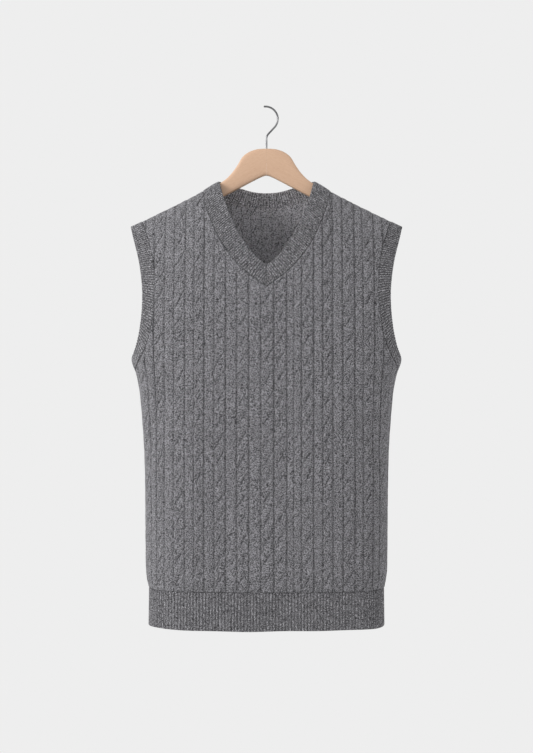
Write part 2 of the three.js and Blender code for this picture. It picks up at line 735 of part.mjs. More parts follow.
function solidOf(geometry) {
  const bare = geometry.clone();
  ["normal", "uv"].forEach((name) => bare.deleteAttribute(name));
  const merged = mergeVertices(bare, 1e-4);
  const vertProperties = new Float32Array(merged.attributes.position.array);
  const triVerts = new Uint32Array(merged.index.array);
  return new wasm.Manifold(new wasm.Mesh({ numProp: 3, vertProperties, triVerts }));
}
function geometryOf(solid) {
  const { vertProperties, triVerts } = solid.getMesh();
  const geometry = new THREE.BufferGeometry();
  geometry.setAttribute("position", new THREE.BufferAttribute(new Float32Array(vertProperties), 3));
  geometry.setIndex(new THREE.BufferAttribute(new Uint32Array(triVerts), 1));
  geometry.computeVertexNormals();
  return geometry;
}

// The wood: one outline of both arms, rounded all along its edges.
// It is cut in two at the glued joint and bored for the hook.
const WOOD_CROWN = [
  { x: 0, z: -62 },
  { x: 12, z: -62.6 },
  { x: 23, z: -65.6 },
  { x: 31.5, z: -70.4 },
  { x: 37, z: -75.8 },
  { x: 43, z: -86 },
  { x: 52, z: -98.7 },
  { x: 62, z: -108.7 },
];
const WOOD_FOLLOWS_FROM = 72;
const WOOD_STEP = 13;
const WOOD_UNDERSIDE = { apex: -102.3, slope: 0.53, straightTo: 100 };
const WOOD_TIP = { height: 17, bevel: 3, round: 5 };
function woodOutline() {
  const seat = (x) => shoulderAt(x) - WOOD_CLEARANCE;
  const top = WOOD_CROWN.map(({ x, z }) => new THREE.Vector2(x, z));
  for (let x = WOOD_FOLLOWS_FROM; x < ARM_END - WOOD_TIP.round; x += WOOD_STEP) {
    top.push(new THREE.Vector2(x, seat(x)));
  }
  const { apex, slope, straightTo } = WOOD_UNDERSIDE;
  const { height, bevel, round } = WOOD_TIP;
  const tip = seat(ARM_END);
  const end = [
    new THREE.Vector2(ARM_END - bevel, seat(ARM_END - bevel)),
    new THREE.Vector2(ARM_END, tip - round),
  ];
  const under = [
    new THREE.Vector2(ARM_END, tip - height + round),
    new THREE.Vector2(ARM_END - round, tip - height),
    new THREE.Vector2(straightTo, apex - slope * straightTo),
    new THREE.Vector2(0, apex),
  ];
  const right = [...top, ...end, ...under];
  const left = right.slice(1, -1).reverse().map(({ x, y }) => new THREE.Vector2(-x, y));
  return new THREE.Shape([...right, ...left].reverse());
}
function woodGeometry(side) {
  const flat = WOOD_THICKNESS - 2 * WOOD_ROUNDING;
  const whole = new THREE.ExtrudeGeometry(woodOutline(), {
    depth: flat,
    bevelThickness: WOOD_ROUNDING,
    bevelSize: WOOD_ROUNDING,
    bevelOffset: -WOOD_ROUNDING,
    bevelSegments: 3,
  });
  whole.translate(0, 0, -flat / 2).rotateX(Math.PI / 2);
  const size = 2 * ARM_END;
  const half = new THREE.BoxGeometry(size, size, 2 * size).translate(side * (size / 2 + SEAM_GAP / 2), 0, 0);
  const boreRadius = WIRE / 2 + WIRE_CLEARANCE;
  const boreLength = STEM_TOP - STEM_FOOT + SEAM_GAP;
  const bore = new THREE.CylinderGeometry(boreRadius, boreRadius, boreLength, BORE_SIDES)
    .rotateX(Math.PI / 2)
    .translate(0, 0, STEM_FOOT - SEAM_GAP + boreLength / 2);
  return geometryOf(solidOf(whole).intersect(solidOf(half)).subtract(solidOf(bore)));
}

// The hook: a round wire in an arc over the rail, a slant, a smaller bend and the stem in the wood.
function hookGeometry() {
  const arc = (x, z, radius, from, to, steps) =>
    Array.from({ length: steps + 1 }, (_, i) => {
      const angle = THREE.MathUtils.degToRad(from + ((to - from) * i) / steps);
      return new THREE.Vector3(x + radius * Math.cos(angle), 0, z + radius * Math.sin(angle));
    });
  const spots = [
    ...arc(HOOK_OFFSET, WIRE / 2 - HOOK_RADIUS, HOOK_RADIUS, HOOK_TIP_ANGLE, -SLANT_ANGLE, HOOK_STEPS),
    ...arc(BEND_RADIUS, STEM_TOP, BEND_RADIUS, 180 - SLANT_ANGLE, 180, BEND_STEPS),
    new THREE.Vector3(0, 0, STEM_FOOT),
  ];
  const sides = WIRE_SIDES;
  const solid = new Solid();
  const rings = spots.map((spot, i) => {
    const before = spots[Math.max(i - 1, 0)];
    const after = spots[Math.min(i + 1, spots.length - 1)];
    const along = after.clone().sub(before).normalize();
    const side = new THREE.Vector3(0, 1, 0);
    const up = along.clone().cross(side);
    return Array.from({ length: sides }, (_, k) => {
      const turn = (2 * Math.PI * k) / sides;
      const offset = side.clone().multiplyScalar(Math.cos(turn)).addScaledVector(up, Math.sin(turn));
      return solid.add(spot.clone().addScaledVector(offset, WIRE / 2));
    });
  });
  for (let i = 0; i < rings.length - 1; i += 1) {
    for (let k = 0; k < sides; k += 1) {
      const n = (k + 1) % sides;
      solid.face(rings[i][k], rings[i][n], rings[i + 1][k]);
      solid.face(rings[i][n], rings[i + 1][n], rings[i + 1][k]);
    }
  }
  for (let k = 1; k < sides - 1; k += 1) {
    solid.face(rings[0][0], rings[0][k + 1], rings[0][k]);
    solid.face(rings[rings.length - 1][0], rings[rings.length - 1][k], rings[rings.length - 1][k + 1]);
  }
  return solid.geometry();
}

const vest = new THREE.Group();
function addPiece(name, geometry, finish) {
  const mesh = new THREE.Mesh(geometry, new THREE.MeshStandardMaterial(finish));
  mesh.name = name;
  vest.add(mesh);
}

addPiece("front_panel", panelGeometry(-1, frontCells), KNIT);
addPiece("back_panel", panelGeometry(1, backCells), KNIT);
addPiece("hem_rib_front", hemRibGeometry(-1), KNIT);
addPiece("hem_rib_back", hemRibGeometry(1), KNIT);
addPiece("neckband_left", neckFrontGeometry(-1), KNIT);
addPiece("neckband_right", neckFrontGeometry(1), KNIT);
addPiece("neckband_back", neckBackGeometry(), KNIT);
addPiece("armhole_band_left", armBandGeometry(-1), KNIT);
addPiece("armhole_band_right", armBandGeometry(1), KNIT);
addPiece("hanger_wood_left", woodGeometry(-1), BEECH);
addPiece("hanger_wood_right", woodGeometry(1), BEECH);
addPiece("hanger_hook", hookGeometry(), STEEL);

export default vest;
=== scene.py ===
"""A knitted V-neck sweater vest on its wooden hanger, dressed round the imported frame.

Shapes are worked out in millimetres, as in the part's source: +X is the viewer's right, +Y the back, +Z up,
and the origin is the inside top of the hook. Left and right are as seen from the front.
"""

import math

import bpy
import numpy as np
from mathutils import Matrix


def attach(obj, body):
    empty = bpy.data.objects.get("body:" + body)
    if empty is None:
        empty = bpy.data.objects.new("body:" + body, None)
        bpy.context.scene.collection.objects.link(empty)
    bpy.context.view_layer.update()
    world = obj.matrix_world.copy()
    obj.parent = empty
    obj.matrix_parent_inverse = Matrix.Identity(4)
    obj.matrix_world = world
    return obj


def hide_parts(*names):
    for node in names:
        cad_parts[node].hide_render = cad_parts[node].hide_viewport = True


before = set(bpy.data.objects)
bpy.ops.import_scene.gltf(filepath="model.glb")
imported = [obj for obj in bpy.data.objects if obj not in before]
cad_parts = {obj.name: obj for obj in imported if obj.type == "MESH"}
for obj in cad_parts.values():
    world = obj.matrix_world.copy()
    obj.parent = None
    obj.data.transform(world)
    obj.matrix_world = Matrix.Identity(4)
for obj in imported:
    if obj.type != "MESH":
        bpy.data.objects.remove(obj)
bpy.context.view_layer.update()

# Driving sizes of the cloth
MM = 0.001
HEM = -773.0
RIB_TOP = -716.0
WALL = 2.0
BAND_WALL = 1.9
HALF_SEAM = 0.03
TUCK = 0.5
SEAM_EDGE = 1.0
CABLE_REPEAT = 29.0
HEM_RIB_PITCH = 4.6
BAND_RIB_PITCH = 3.4
NECK_BAND_WIDTH = 25.0
NECK_BAND_BACK_WIDTH = 21.5
NECK_NARROWS = (-30.0, 40.0)
ARM_BAND_WIDTH = 21.0

# Height of the knit over a valley's foot, which itself lies VALLEY_DEPTH in the wall
CABLE_BED = 0.9
STRAND_RISE = 1.5
STRAND_LEAN = 0.5
RIB_RISE = 1.9
VALLEY_DEPTH = 0.5
FINE_RIB_RISE = 1.2
INNER_RIB_DEPTH = 0.45

# How the columns waver and how unevenly strands follow each other: size, pace up and pace across
WAVER = ((0.5, 0.93, 0.11), (0.4, 0.29, -0.07))
UNEVEN = ((0.06, 0.061, 2.4), (0.05, 0.023, 1.3))

# How far from a panel's edge its relief and its thickness are whole, and what is left at the shoulder line
RELIEF_FADE = 4.0
EDGE_ROUNDING = 2.0
SHOULDER_RELIEF = 0.4
SHOULDER_RELIEF_FADE = 16.0

# Stitches: the width of a wale and the height of a course
WALE = 2.6
COURSE = 2.3

# How the body rounds: the corner power of its level sections and the height over which a shoulder fills out
ROUNDNESS = 3.3
SHOULDER_FALL = 220.0
STRAIGHT = 150.0

# Inside of the body: height, half width and half depth
BODY = [
    (-790, 173, 63),
    (-773, 172.8, 63),
    (-716, 172.2, 62.5),
    (-703, 174.4, 65),
    (-688, 176, 66),
    (-595, 177, 66),
    (-523, 178.2, 66),
    (-451, 182.8, 65),
    (-424, 185.6, 64.5),
    (-403, 189.6, 64),
    (-379, 198, 63),
    (-344, 200, 62),
    (-291, 202, 60),
    (-235, 203.5, 58),
    (-178, 206, 56),
    (-90, 207, 54),
]

# Inside of the shoulder line: distance from the centre and height
SHOULDER = [
    (0, -98),
    (30, -99.5),
    (52, -105),
    (69, -113),
    (79, -118.2),
    (98, -130.2),
    (121, -142.2),
    (145, -154.2),
    (170, -166.2),
    (195, -178.2),
    (210, -185),
]

# Finished edge of the neckband: the V up to the shoulder, its place beside the shoulder line, and the back
NECK_FRONT = [(0, -241.3), (10.6, -233.1), (22.6, -220.2), (37.9, -197.1), (49.1, -174.7), (62.4, -140.6)]
NECK_SIDE = [(67.9, -17.0), (69.5, 0.0)]
NECK_BACK = [(57, -113.5), (38, -119), (20, -123.4), (0, -125)]

# Finished edge of the armhole
ARMHOLE = [(200.5, -187), (187.2, -237), (181.7, -291), (187, -344), (193.4, -366)]
ARM_TIP = 202.5
UNDERARM = -379.0

# Knitted columns out from the line where the two middle cables of the front meet: C is a cable, R a rib
MIDDLE = 10.8
FRONT_RIGHT = [
    ("C", 18.8),
    ("R", 10),
    ("R", 11.3),
    ("C", 17.3),
    ("R", 13.3),
    ("C", 14.2),
    ("R", 15),
    ("C", 17.3),
    ("R", 12.6),
]
FRONT_LEFT = [
    ("C", 18.7),
    ("R", 17.5),
    ("C", 17.3),
    ("R", 16.3),
    ("C", 16.5),
    ("R", 14.8),
    ("C", 14.5),
    ("R", 13.3),
]
BACK_HALF = [("R", 7.5)]
SIDE_PAIR = [("C", 16.4), ("R", 14)]

# Soft creases on each face: column, height, lean, half length, half width and depth, positive for a ridge
CREASE_FREE_SIDE = 25.0
CREASE_TOP = -300.0
CREASE_FADE = 90.0
CREASES = {
    -1: [
        (-158, -455, 0.45, 95, 17, -2.2),
        (-120, -560, 0.10, 120, 26, 1.6),
        (-62, -640, -0.08, 80, 22, -1.3),
        (30, -520, 0.05, 130, 34, -1.2),
        (96, -610, 0.12, 100, 24, 1.5),
        (150, -470, -0.42, 85, 15, -1.9),
        (172, -590, -0.06, 110, 18, 1.4),
        (-185, -640, 0.04, 70, 16, -1.5),
    ],
    1: [
        (-150, -450, 0.40, 90, 18, -2.0),
        (-84, -590, -0.12, 110, 28, 1.7),
        (-10, -430, 0.03, 120, 36, -1.4),
        (58, -640, 0.10, 75, 20, -1.5),
        (118, -530, -0.15, 115, 25, 1.6),
        (166, -460, -0.44, 80, 16, -2.1),
    ],
}

# Driving sizes of the hanger
WOOD_CROWN = [
    (0, -62),
    (12, -62.6),
    (23, -65.6),
    (31.5, -70.4),
    (37, -75.8),
    (43, -86),
    (52, -98.7),
    (62, -108.7),
]
WOOD_FOLLOWS_FROM = 72.0
WOOD_CLEARANCE = 0.8
WOOD_HALF_THICKNESS = 6.0
WOOD_SECTION_POWER = 4.0
WOOD_APEX = -102.3
WOOD_SLOPE = 0.53
WOOD_APEX_ROUND = 5.0
WOOD_STRAIGHT_TO = 100.0
WOOD_TIP_HEIGHT = 17.0
WOOD_TIP_LENGTH = 20.0
WOOD_TIP_ROUNDING = 7.0
ARM_END = 190.0
WIRE = 2.8
HOOK_RADIUS = 18.6
HOOK_OFFSET = -1.6
HOOK_TIP_ANGLE = 99.0
BEND_RADIUS = 12.0
STEM_TOP = -47.5
STEM_FOOT = -84.0


def monotone_curve(rows, across, flat_start=False):
    """A curve through the rows that never overshoots.

    Between two rows it is their smoothstep blend plus a pull towards each end's slope. An inner slope is the
    harmonic mean of the slopes beside it, or 0 at a turning point.
    """
    table = np.array(rows, float)
    x, y = table[:, 0], table[:, across]
    rise = np.diff(y) / np.diff(x)
    product = rise[:-1] * rise[1:]
    total = rise[:-1] + rise[1:]
    inner = np.where(product > 0, 2 * product / np.where(total == 0, 1, total), 0)
    slope = np.concatenate([[0 if flat_start else rise[0]], inner, [rise[-1]]])

    def read(value):
        v = np.clip(value, x[0], x[-1])
        i = np.clip(np.searchsorted(x, v, side="right") - 1, 0, len(x) - 2)
        span = x[i + 1] - x[i]
        t = (v - x[i]) / span
        blend = t * t * (3 - 2 * t)
        pulls = slope[i] * t * (1 - t) ** 2 - slope[i + 1] * t * t * (1 - t)
        return y[i] + (y[i + 1] - y[i]) * blend + span * pulls

    return read


half_width = monotone_curve(BODY, 1)
half_depth = monotone_curve(BODY, 2)
shoulder_curve = monotone_curve(SHOULDER, 1, flat_start=True)


def shoulder(x):
    """Height of the shoulder line at a distance from the centre, alike on both sides."""
    return shoulder_curve(np.abs(x))


def smooth_step(value):
    """0 below 0, 1 above 1 and t * t * (3 - 2 t) between."""
    t = np.clip(value, 0, 1)
    return t * t * (3 - 2 * t)


# Level sections of the body as tables: a row is a millimetre of height, a column a share of the way round
LEVELS = np.arange(-800.0, -84.0)
SHARES = np.linspace(0, 1, 401)
QUARTER_POINTS = 241


def level_sections(z):
    """Quarter superellipses |x/w|^n + |y/d|^n = 1 at the heights z, with the way from the centre."""
    turn = (1 - np.cos(np.linspace(0, np.pi, QUARTER_POINTS))) * np.pi / 4
    x = half_width(z)[:, None] * np.sin(turn) ** (2 / ROUNDNESS)
    y = half_depth(z)[:, None] * np.clip(np.cos(turn), 0, 1) ** (2 / ROUNDNESS)
    steps = np.hypot(np.diff(x), np.diff(y))
    way = np.concatenate([np.zeros((len(z), 1)), np.cumsum(steps, axis=1)], axis=1)
    return x, y, way


SECTION_X, SECTION_Y, SECTION_WAY = level_sections(LEVELS)
HALF_GIRTH = SECTION_WAY[:, -1]
EVEN_X = np.array([np.interp(SHARES * w[-1], w, x) for w, x in zip(SECTION_WAY, SECTION_X)])
EVEN_Y = np.array([np.interp(SHARES * w[-1], w, y) for w, y in zip(SECTION_WAY, SECTION_Y)])
SIDE = float(np.interp(UNDERARM, LEVELS, HALF_GIRTH))


def read_table(table, z, share):
    """Straight-line reading of a table of levels and shares in both directions."""
    row = np.clip(z - LEVELS[0], 0, len(LEVELS) - 1.001)
    place = np.clip(share, 0, 1) * (len(SHARES) - 1.001)
    i, j = row.astype(int), place.astype(int)
    a, b = row - i, place - j
    low = (1 - b) * table[i, j] + b * table[i, j + 1]
    high = (1 - b) * table[i + 1, j] + b * table[i + 1, j + 1]
    return (1 - a) * low + a * high


def fullness(x, z):
    """Share of the full depth below the shoulder line, a quarter ellipse: sqrt(1 - (1 - fall)^2)."""
    fall = np.clip((shoulder(x) - z) / SHOULDER_FALL, 0, 1)
    return np.sqrt(1 - (1 - fall) ** 2)


def inside(column, z):
    """Inside of the cloth at a column and a height: x, depth, reach from the shoulder line, height over it.

    A column keeps its distance from the centre up to STRAIGHT. Beyond it the columns share the way to the
    side.
    """
    half = np.interp(z, LEVELS, HALF_GIRTH)
    c = np.abs(column)
    way = np.where(c <= STRAIGHT, c, STRAIGHT + (c - STRAIGHT) * (half - STRAIGHT) / (SIDE - STRAIGHT))
    x = read_table(EVEN_X, z, way / half)
    y = read_table(EVEN_Y, z, way / half) * fullness(x, z)
    over = z - shoulder(x)
    return np.sign(column) * x, y, np.hypot(np.minimum(over, 0), y), over


HALVINGS = 26


def height_at(column, reach):
    """Height at which a column has a reach from the shoulder line, found by halving the range of heights."""
    column, reach = np.broadcast_arrays(np.asarray(column, float), np.asarray(reach, float))
    low, high = np.full(column.shape, HEM - 20), np.full(column.shape, -90.0)
    for _ in range(HALVINGS):
        middle = (low + high) / 2
        _, _, there, over = inside(column, middle)
        below = (over < 0) & (there > reach)
        low, high = np.where(below, middle, low), np.where(below, high, middle)
    return (low + high) / 2


def outward(x, y, z):
    """Unit normal out of the garment: the slope of |y|^n - (depth * fullness)^n (1 - |x/width|^n)."""

    def form(x, y, z):
        depth = (half_depth(z) * fullness(x, z)) ** ROUNDNESS
        return np.abs(y) ** ROUNDNESS - depth * (1 - np.abs(x / half_width(z)) ** ROUNDNESS)

    step = 0.002
    slope = np.stack(
        [
            form(x + step, y, z) - form(x - step, y, z),
            form(x, y + step, z) - form(x, y - step, z),
            form(x, y, z + step) - form(x, y, z - step),
        ],
        axis=-1,
    )
    return slope / np.linalg.norm(slope, axis=-1, keepdims=True)


def crease(face, column, z):
    """Sum of soft troughs and ridges, which fades out at the side seams and towards the shoulders.

    Each of them is depth * exp(-(across/width)^2 - (along/length)^2).
    """
    total = np.zeros(np.broadcast(column, z).shape)
    for which, rows in CREASES.items():
        part = np.zeros_like(total)
        for c0, z0, lean, length, width, depth in rows:
            across = column - c0 - lean * (z - z0)
            part += depth * np.exp(-((across / width) ** 2) - ((z - z0) / length) ** 2)
        total += np.where(face == which, part, 0)
    side = smooth_step((SIDE - np.abs(column)) / CREASE_FREE_SIDE)
    return total * side * smooth_step((CREASE_TOP - z) / CREASE_FADE)


def on_cloth(face, column, z, out):
    """Points of the cloth: the inside at a column and a height, moved out along its normal, with creases."""
    x, y, _, _ = inside(column, z)
    y = face * np.maximum(y, HALF_SEAM)
    move = (out + crease(face, column, z))[..., None]
    return np.stack([x, y, z], axis=-1) + outward(x, y, z) * move


# Paths in the flat layout: column across, and reach, negative on the front and positive on the back


def layout_place(x, z, face):
    """The place in the layout of the inside point at x and z."""
    section_x, _, section_way = level_sections(np.array([float(z)]))
    way = float(np.interp(x, section_x[0], section_way[0]))
    half = section_way[0][-1]
    column = way if way <= STRAIGHT else STRAIGHT + (way - STRAIGHT) * (SIDE - STRAIGHT) / (half - STRAIGHT)
    reach = float(inside(np.array(column), np.array(float(z)))[2])
    return np.array([column, face * reach])


def spaced_points(path, count):
    """count + 1 points of a path, evenly spaced along it."""
    way = np.concatenate([[0], np.cumsum(np.linalg.norm(np.diff(path, axis=0), axis=1))])
    even = np.linspace(0, way[-1], count + 1)
    return np.stack([np.interp(even, way, path[:, k]) for k in range(2)], axis=1)


def length_of(path):
    return float(np.linalg.norm(np.diff(path, axis=0), axis=1).sum())


CURVE_STEPS = 80


def smooth_path(places, step):
    """A centripetal Catmull-Rom curve through the places, in points a step apart.

    Each stretch is a cubic, and the knots lie apart by the square root of the distance between the places.
    """
    p = np.vstack([2 * places[0] - places[1], places, 2 * places[-1] - places[-2]])
    knot = np.sqrt(np.linalg.norm(np.diff(p, axis=0), axis=1))[:, None]
    p0, p1, p2, p3 = p[:-3], p[1:-2], p[2:-1], p[3:]
    d0, d1, d2 = knot[:-2], knot[1:-1], knot[2:]
    start = d1 * ((p1 - p0) / d0 - (p2 - p0) / (d0 + d1) + (p2 - p1) / d1)
    end = d1 * ((p2 - p1) / d1 - (p3 - p1) / (d1 + d2) + (p3 - p2) / d2)
    t = np.linspace(0, 1, CURVE_STEPS, endpoint=False)[None, :, None]
    a, b, m, n = (q[:, None, :] for q in (p1, p2, start, end))
    cubic = a + m * t + (3 * (b - a) - 2 * m - n) * t**2 + (2 * (a - b) + m + n) * t**3
    fine = np.vstack([cubic.reshape(-1, 2), places[-1]])
    return spaced_points(fine, round(length_of(fine) / step))


def directions(path):
    """Unit direction along a path at each point, and the one across it, to the right of the way it runs."""
    before = path[np.maximum(np.arange(len(path)) - 1, 0)]
    after = path[np.minimum(np.arange(len(path)) + 1, len(path) - 1)]
    along = (after - before) / np.linalg.norm(after - before, axis=1, keepdims=True)
    return along, np.stack([along[:, 1], -along[:, 0]], axis=1)


PATH_STEP = 0.5
FLIP_COLUMN = np.array([-1.0, 1.0])
FLIP_FACE = np.array([1.0, -1.0])


def neck_path():
    """Right half of the neck edge from the V to the centre of the back, run on straight before the V.

    Gives its points, the direction across each, and the way along the edge from the V.
    """
    places = [layout_place(x, z, -1) for x, z in NECK_FRONT]
    places += [np.array(place) for place in NECK_SIDE]
    places += [layout_place(x, z, 1) for x, z in NECK_BACK]
    curve = smooth_path(np.array([*places, places[-2] * FLIP_COLUMN]), PATH_STEP)
    edge = np.vstack([places[0], curve[curve[:, 0] > PATH_STEP], places[-1]])
    along, across = directions(edge)
    across[-1] = (0, 1)
    steps = math.ceil((NECK_BAND_WIDTH + 1) * across[0, 0] / along[0, 0] / PATH_STEP)
    before = edge[0] + along[0] * PATH_STEP * np.arange(-steps, 0)[:, None]
    way = np.concatenate([[0], np.cumsum(np.linalg.norm(np.diff(edge, axis=0), axis=1))])
    return (
        np.vstack([before, edge]),
        np.vstack([np.repeat(across[:1], steps, axis=0), across]),
        np.concatenate([PATH_STEP * np.arange(-steps, 0), way]),
    )


NECK_SPOTS, NECK_ACROSS, NECK_WAY = neck_path()


def neck_width(reach):
    """Width of the neckband, which narrows from the front to the back."""
    start, end = NECK_NARROWS
    narrow = smooth_step((reach - start) / (end - start))
    return NECK_BAND_WIDTH + (NECK_BAND_BACK_WIDTH - NECK_BAND_WIDTH) * narrow


def neck_seam():
    """Where the panels meet the neckband, from the centre line of the front to that of the back."""
    moved = NECK_SPOTS + NECK_ACROSS * (neck_width(NECK_SPOTS[:, 1]) - TUCK)[:, None]
    first = int(np.argmax(moved[:, 0] > PATH_STEP))
    a, b = moved[first - 1], moved[first]
    point = a + (b - a) * a[0] / (a[0] - b[0])
    return np.vstack([point, moved[first:-1], [0, moved[-1, 1]]])


def arm_path():
    """Right armhole edge on the front, from the shoulder tip to the side."""
    tip = layout_place(ARM_TIP, float(shoulder(ARM_TIP)), -1) * (1, 0)
    side = np.array([SIDE, -float(inside(np.array(SIDE), np.array(UNDERARM))[2])])
    places = np.array([tip, *(layout_place(x, z, -1) for x, z in ARMHOLE), side])
    past = np.array([2 * SIDE - places[-2, 0], places[-2, 1]])
    curve = smooth_path(np.vstack([places[1] * FLIP_FACE, places, past]), PATH_STEP)
    kept = (curve[:, 1] < -PATH_STEP) & (curve[:, 0] < SIDE - PATH_STEP)
    return np.vstack([tip, curve[kept], side])


ARM_EDGE = arm_path()


TIP_RUN = 8


def arm_seam(width):
    """The armhole edge moved across by a width, run on to the shoulder line and level to the side.

    The straight goes through the first kept point and the one TIP_RUN points on.
    """
    moved = ARM_EDGE + directions(ARM_EDGE)[1] * width
    kept = moved[(moved[:, 1] < -0.3) & (moved[:, 0] < SIDE - PATH_STEP)]
    a, b = kept[0], kept[TIP_RUN]
    tip = a + (b - a) * a[1] / (a[1] - b[1])
    return np.vstack([tip, kept, [SIDE, kept[-1, 1]]])


def columns_of(start, rows, side):
    """Edges and kinds of the knitted columns from a start to past the side seam."""
    from_, cells = start, []
    pair = 1 if rows[-1][0] == "C" else 0
    while from_ <= SIDE + MIDDLE:
        past = len(cells) - len(rows)
        kind, width = rows[len(cells)] if past < 0 else SIDE_PAIR[(past + pair) % 2]
        cells.append((from_, from_ + width, kind))
        from_ += width
    if side > 0:
        return cells
    return [(2 * start - to, 2 * start - near, kind) for near, to, kind in reversed(cells)]


FRONT_CELLS = columns_of(MIDDLE, FRONT_LEFT, -1) + columns_of(MIDDLE, FRONT_RIGHT, 1)
BACK_CELLS = columns_of(0, BACK_HALF, -1) + columns_of(0, BACK_HALF, 1)


def knit_relief(cells, column, z):
    """Height of the knit over the wall, the painted shade of its hollows, the count of columns and how the
    strands run.

    u runs from -1 to 1 across a column. A cable is a rope of leaning strands, bed + rise * back, where back
    is 1 - (1 - |sin(pi * run)|^0.6) * (1 - u^2), so its grooves run out at the sides. run counts the strands
    up the cable and falls by lean * u. A rib is rise * (1 - |u|^6)^0.7. Columns waver by small sines of the
    height.
    """
    starts = np.array([cell[0] for cell in cells])
    widths = np.array([cell[1] - cell[0] for cell in cells])
    cabled = np.array([cell[2] == "C" for cell in cells])
    place = column + sum(size * np.sin(up * z + over * column) for size, up, over in WAVER)
    i = np.clip(np.searchsorted(starts, place, side="right") - 1, 0, len(cells) - 1)
    share = np.clip((place - starts[i]) / widths[i], 0, 1)
    u = 2 * share - 1
    uneven = sum(size * np.sin(up * z + over * i) for size, up, over in UNEVEN)
    run = z / CABLE_REPEAT + uneven - STRAND_LEAN * u
    back = 1 - (1 - np.abs(np.sin(np.pi * run)) ** 0.6) * (1 - u * u)
    flank = smooth_step((1 - np.abs(u)) / 0.2)
    rib = RIB_RISE * (1 - np.abs(u) ** 6) ** 0.7
    height = np.where(cabled[i], (CABLE_BED + STRAND_RISE * back) * flank, rib) - VALLEY_DEPTH
    # Painted shade: valley darkens the foot of each valley, more or less from one valley to the next, and
    # groove darkens the hollows between a cable's strands.
    valley = 0.5 + 0.35 * np.sin(2.3 * np.round(i + share))
    groove = np.where(cabled[i], 0.7 * (1 - smooth_step(back / 0.7)), 0)
    hollow_shade = np.maximum(valley * (1 - smooth_step((height + VALLEY_DEPTH) / 0.9)), groove)
    return height, hollow_shade, i + share, np.where(cabled[i], run, 0.5)


class Skin:
    """Grids of points that become one closed mesh, with the knit's own measures at each point.

    The attribute knit holds the count of columns, the way along them and the wale's measure. The attribute
    shade holds the painted shade of a point's hollows, 1 inside the garment or 0, and how the strands run,
    0.5 if there are none.
    """

    def __init__(self):
        self.points, self.knit, self.shade, self.faces = [], [], [], []
        self.size = 0

    def add(self, points, count, along, wale, hollow_shade, within, run=0.5):
        """Adds a grid of points and gives their numbers in the same layout."""
        shape = points.shape[:-1]
        ids = self.size + np.arange(points[..., 0].size).reshape(shape)
        self.size += ids.size
        self.points.append(points.reshape(-1, 3))
        for store, values in ((self.knit, (count, along, wale)), (self.shade, (hollow_shade, within, run))):
            store.append(np.stack([np.broadcast_to(v, shape).ravel() for v in values], axis=1))
        return ids

    def sheet(self, ids, turned=False):
        """Two triangles for each square of a grid of numbers."""
        a, b, c, d = ids[:-1, :-1], ids[:-1, 1:], ids[1:, 1:], ids[1:, :-1]
        for corner in ((a, b, c), (a, c, d)):
            made = np.stack([part.ravel() for part in corner], axis=1)
            self.faces.append(made[:, ::-1] if turned else made)

    def rim(self, fine, coarse, picks, turned=False):
        """Triangles between a fine line of points and a coarse one that has only its picked places."""
        below = np.clip(np.searchsorted(picks, np.arange(len(fine) - 1), side="right") - 1, 0, len(picks) - 2)
        fans = np.stack([coarse[below], fine[:-1], fine[1:]], axis=1)
        closing = np.stack([coarse[:-1], fine[picks[1:]], coarse[1:]], axis=1)
        made = np.vstack([fans, closing])
        self.faces.append(made[:, ::-1] if turned else made)

    def mesh(self, name):
        """The mesh: doubled points merged, faces with a doubled corner left out, faces turned outwards."""
        points = np.vstack(self.points)
        _, first, same = np.unique(np.round(points * 500), axis=0, return_index=True, return_inverse=True)
        faces = same.ravel()[np.vstack(self.faces)]
        whole = (faces[:, 0] != faces[:, 1]) & (faces[:, 1] != faces[:, 2]) & (faces[:, 2] != faces[:, 0])
        faces = faces[whole]
        points = points[first]
        a, b, c = (points[faces[:, k]] for k in range(3))
        if (a * np.cross(b, c)).sum() < 0:
            faces = faces[:, ::-1]
        mesh = mesh_of(name, points, faces)
        for label, values in (("knit", self.knit), ("shade", self.shade)):
            layer = mesh.attributes.new(label, "FLOAT_VECTOR", "POINT")
            layer.data.foreach_set("vector", np.vstack(values)[first].astype(np.float32).ravel())
        return mesh


def mesh_of(name, points, triangles):
    """A smooth mesh from points in millimetres and triangles."""
    mesh = bpy.data.meshes.new(name)
    mesh.vertices.add(len(points))
    mesh.vertices.foreach_set("co", (points * MM).astype(np.float32).ravel())
    mesh.loops.add(triangles.size)
    mesh.loops.foreach_set("vertex_index", triangles.astype(np.int32).ravel())
    mesh.polygons.add(len(triangles))
    mesh.polygons.foreach_set("loop_start", np.arange(0, triangles.size, 3, dtype=np.int32))
    mesh.polygons.foreach_set("use_smooth", np.ones(len(triangles), bool))
    mesh.update(calc_edges=True)
    mesh.validate()
    return mesh


def piece(mesh, material, nodes):
    """An object of the mesh at the origin that stands for CAD nodes."""
    thing = bpy.data.objects.new(mesh.name, mesh)
    bpy.context.scene.collection.objects.link(thing)
    mesh.materials.append(material)
    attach(thing, "root")
    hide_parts(*nodes)
    return thing


# The panels

COLUMN_STEP = 1.5
ROWS = 276
NOTCH_ROW = 219
INNER_EVERY = 3


def column_places(cells, low, high):
    """Columns from low to high that include each valley, with even steps between."""
    valleys = [edge for cell in cells for edge in cell[:2] if low + 1 < edge < high - 1]
    stops = np.array(sorted({low, high, *np.round(valleys, 6)}))
    stops = stops[np.concatenate([[True], np.diff(stops) > 1e-3])]
    counts = [max(2, round(width / COLUMN_STEP)) for width in np.diff(stops)]
    parts = [np.linspace(a, b, count + 1)[:-1] for a, b, count in zip(stops[:-1], stops[1:], counts)]
    return np.append(np.concatenate(parts), high)


def picked(count):
    """Every INNER_EVERY-th number up to count - 1, with the last one."""
    return np.unique(np.append(np.arange(0, count, INNER_EVERY), count - 1))


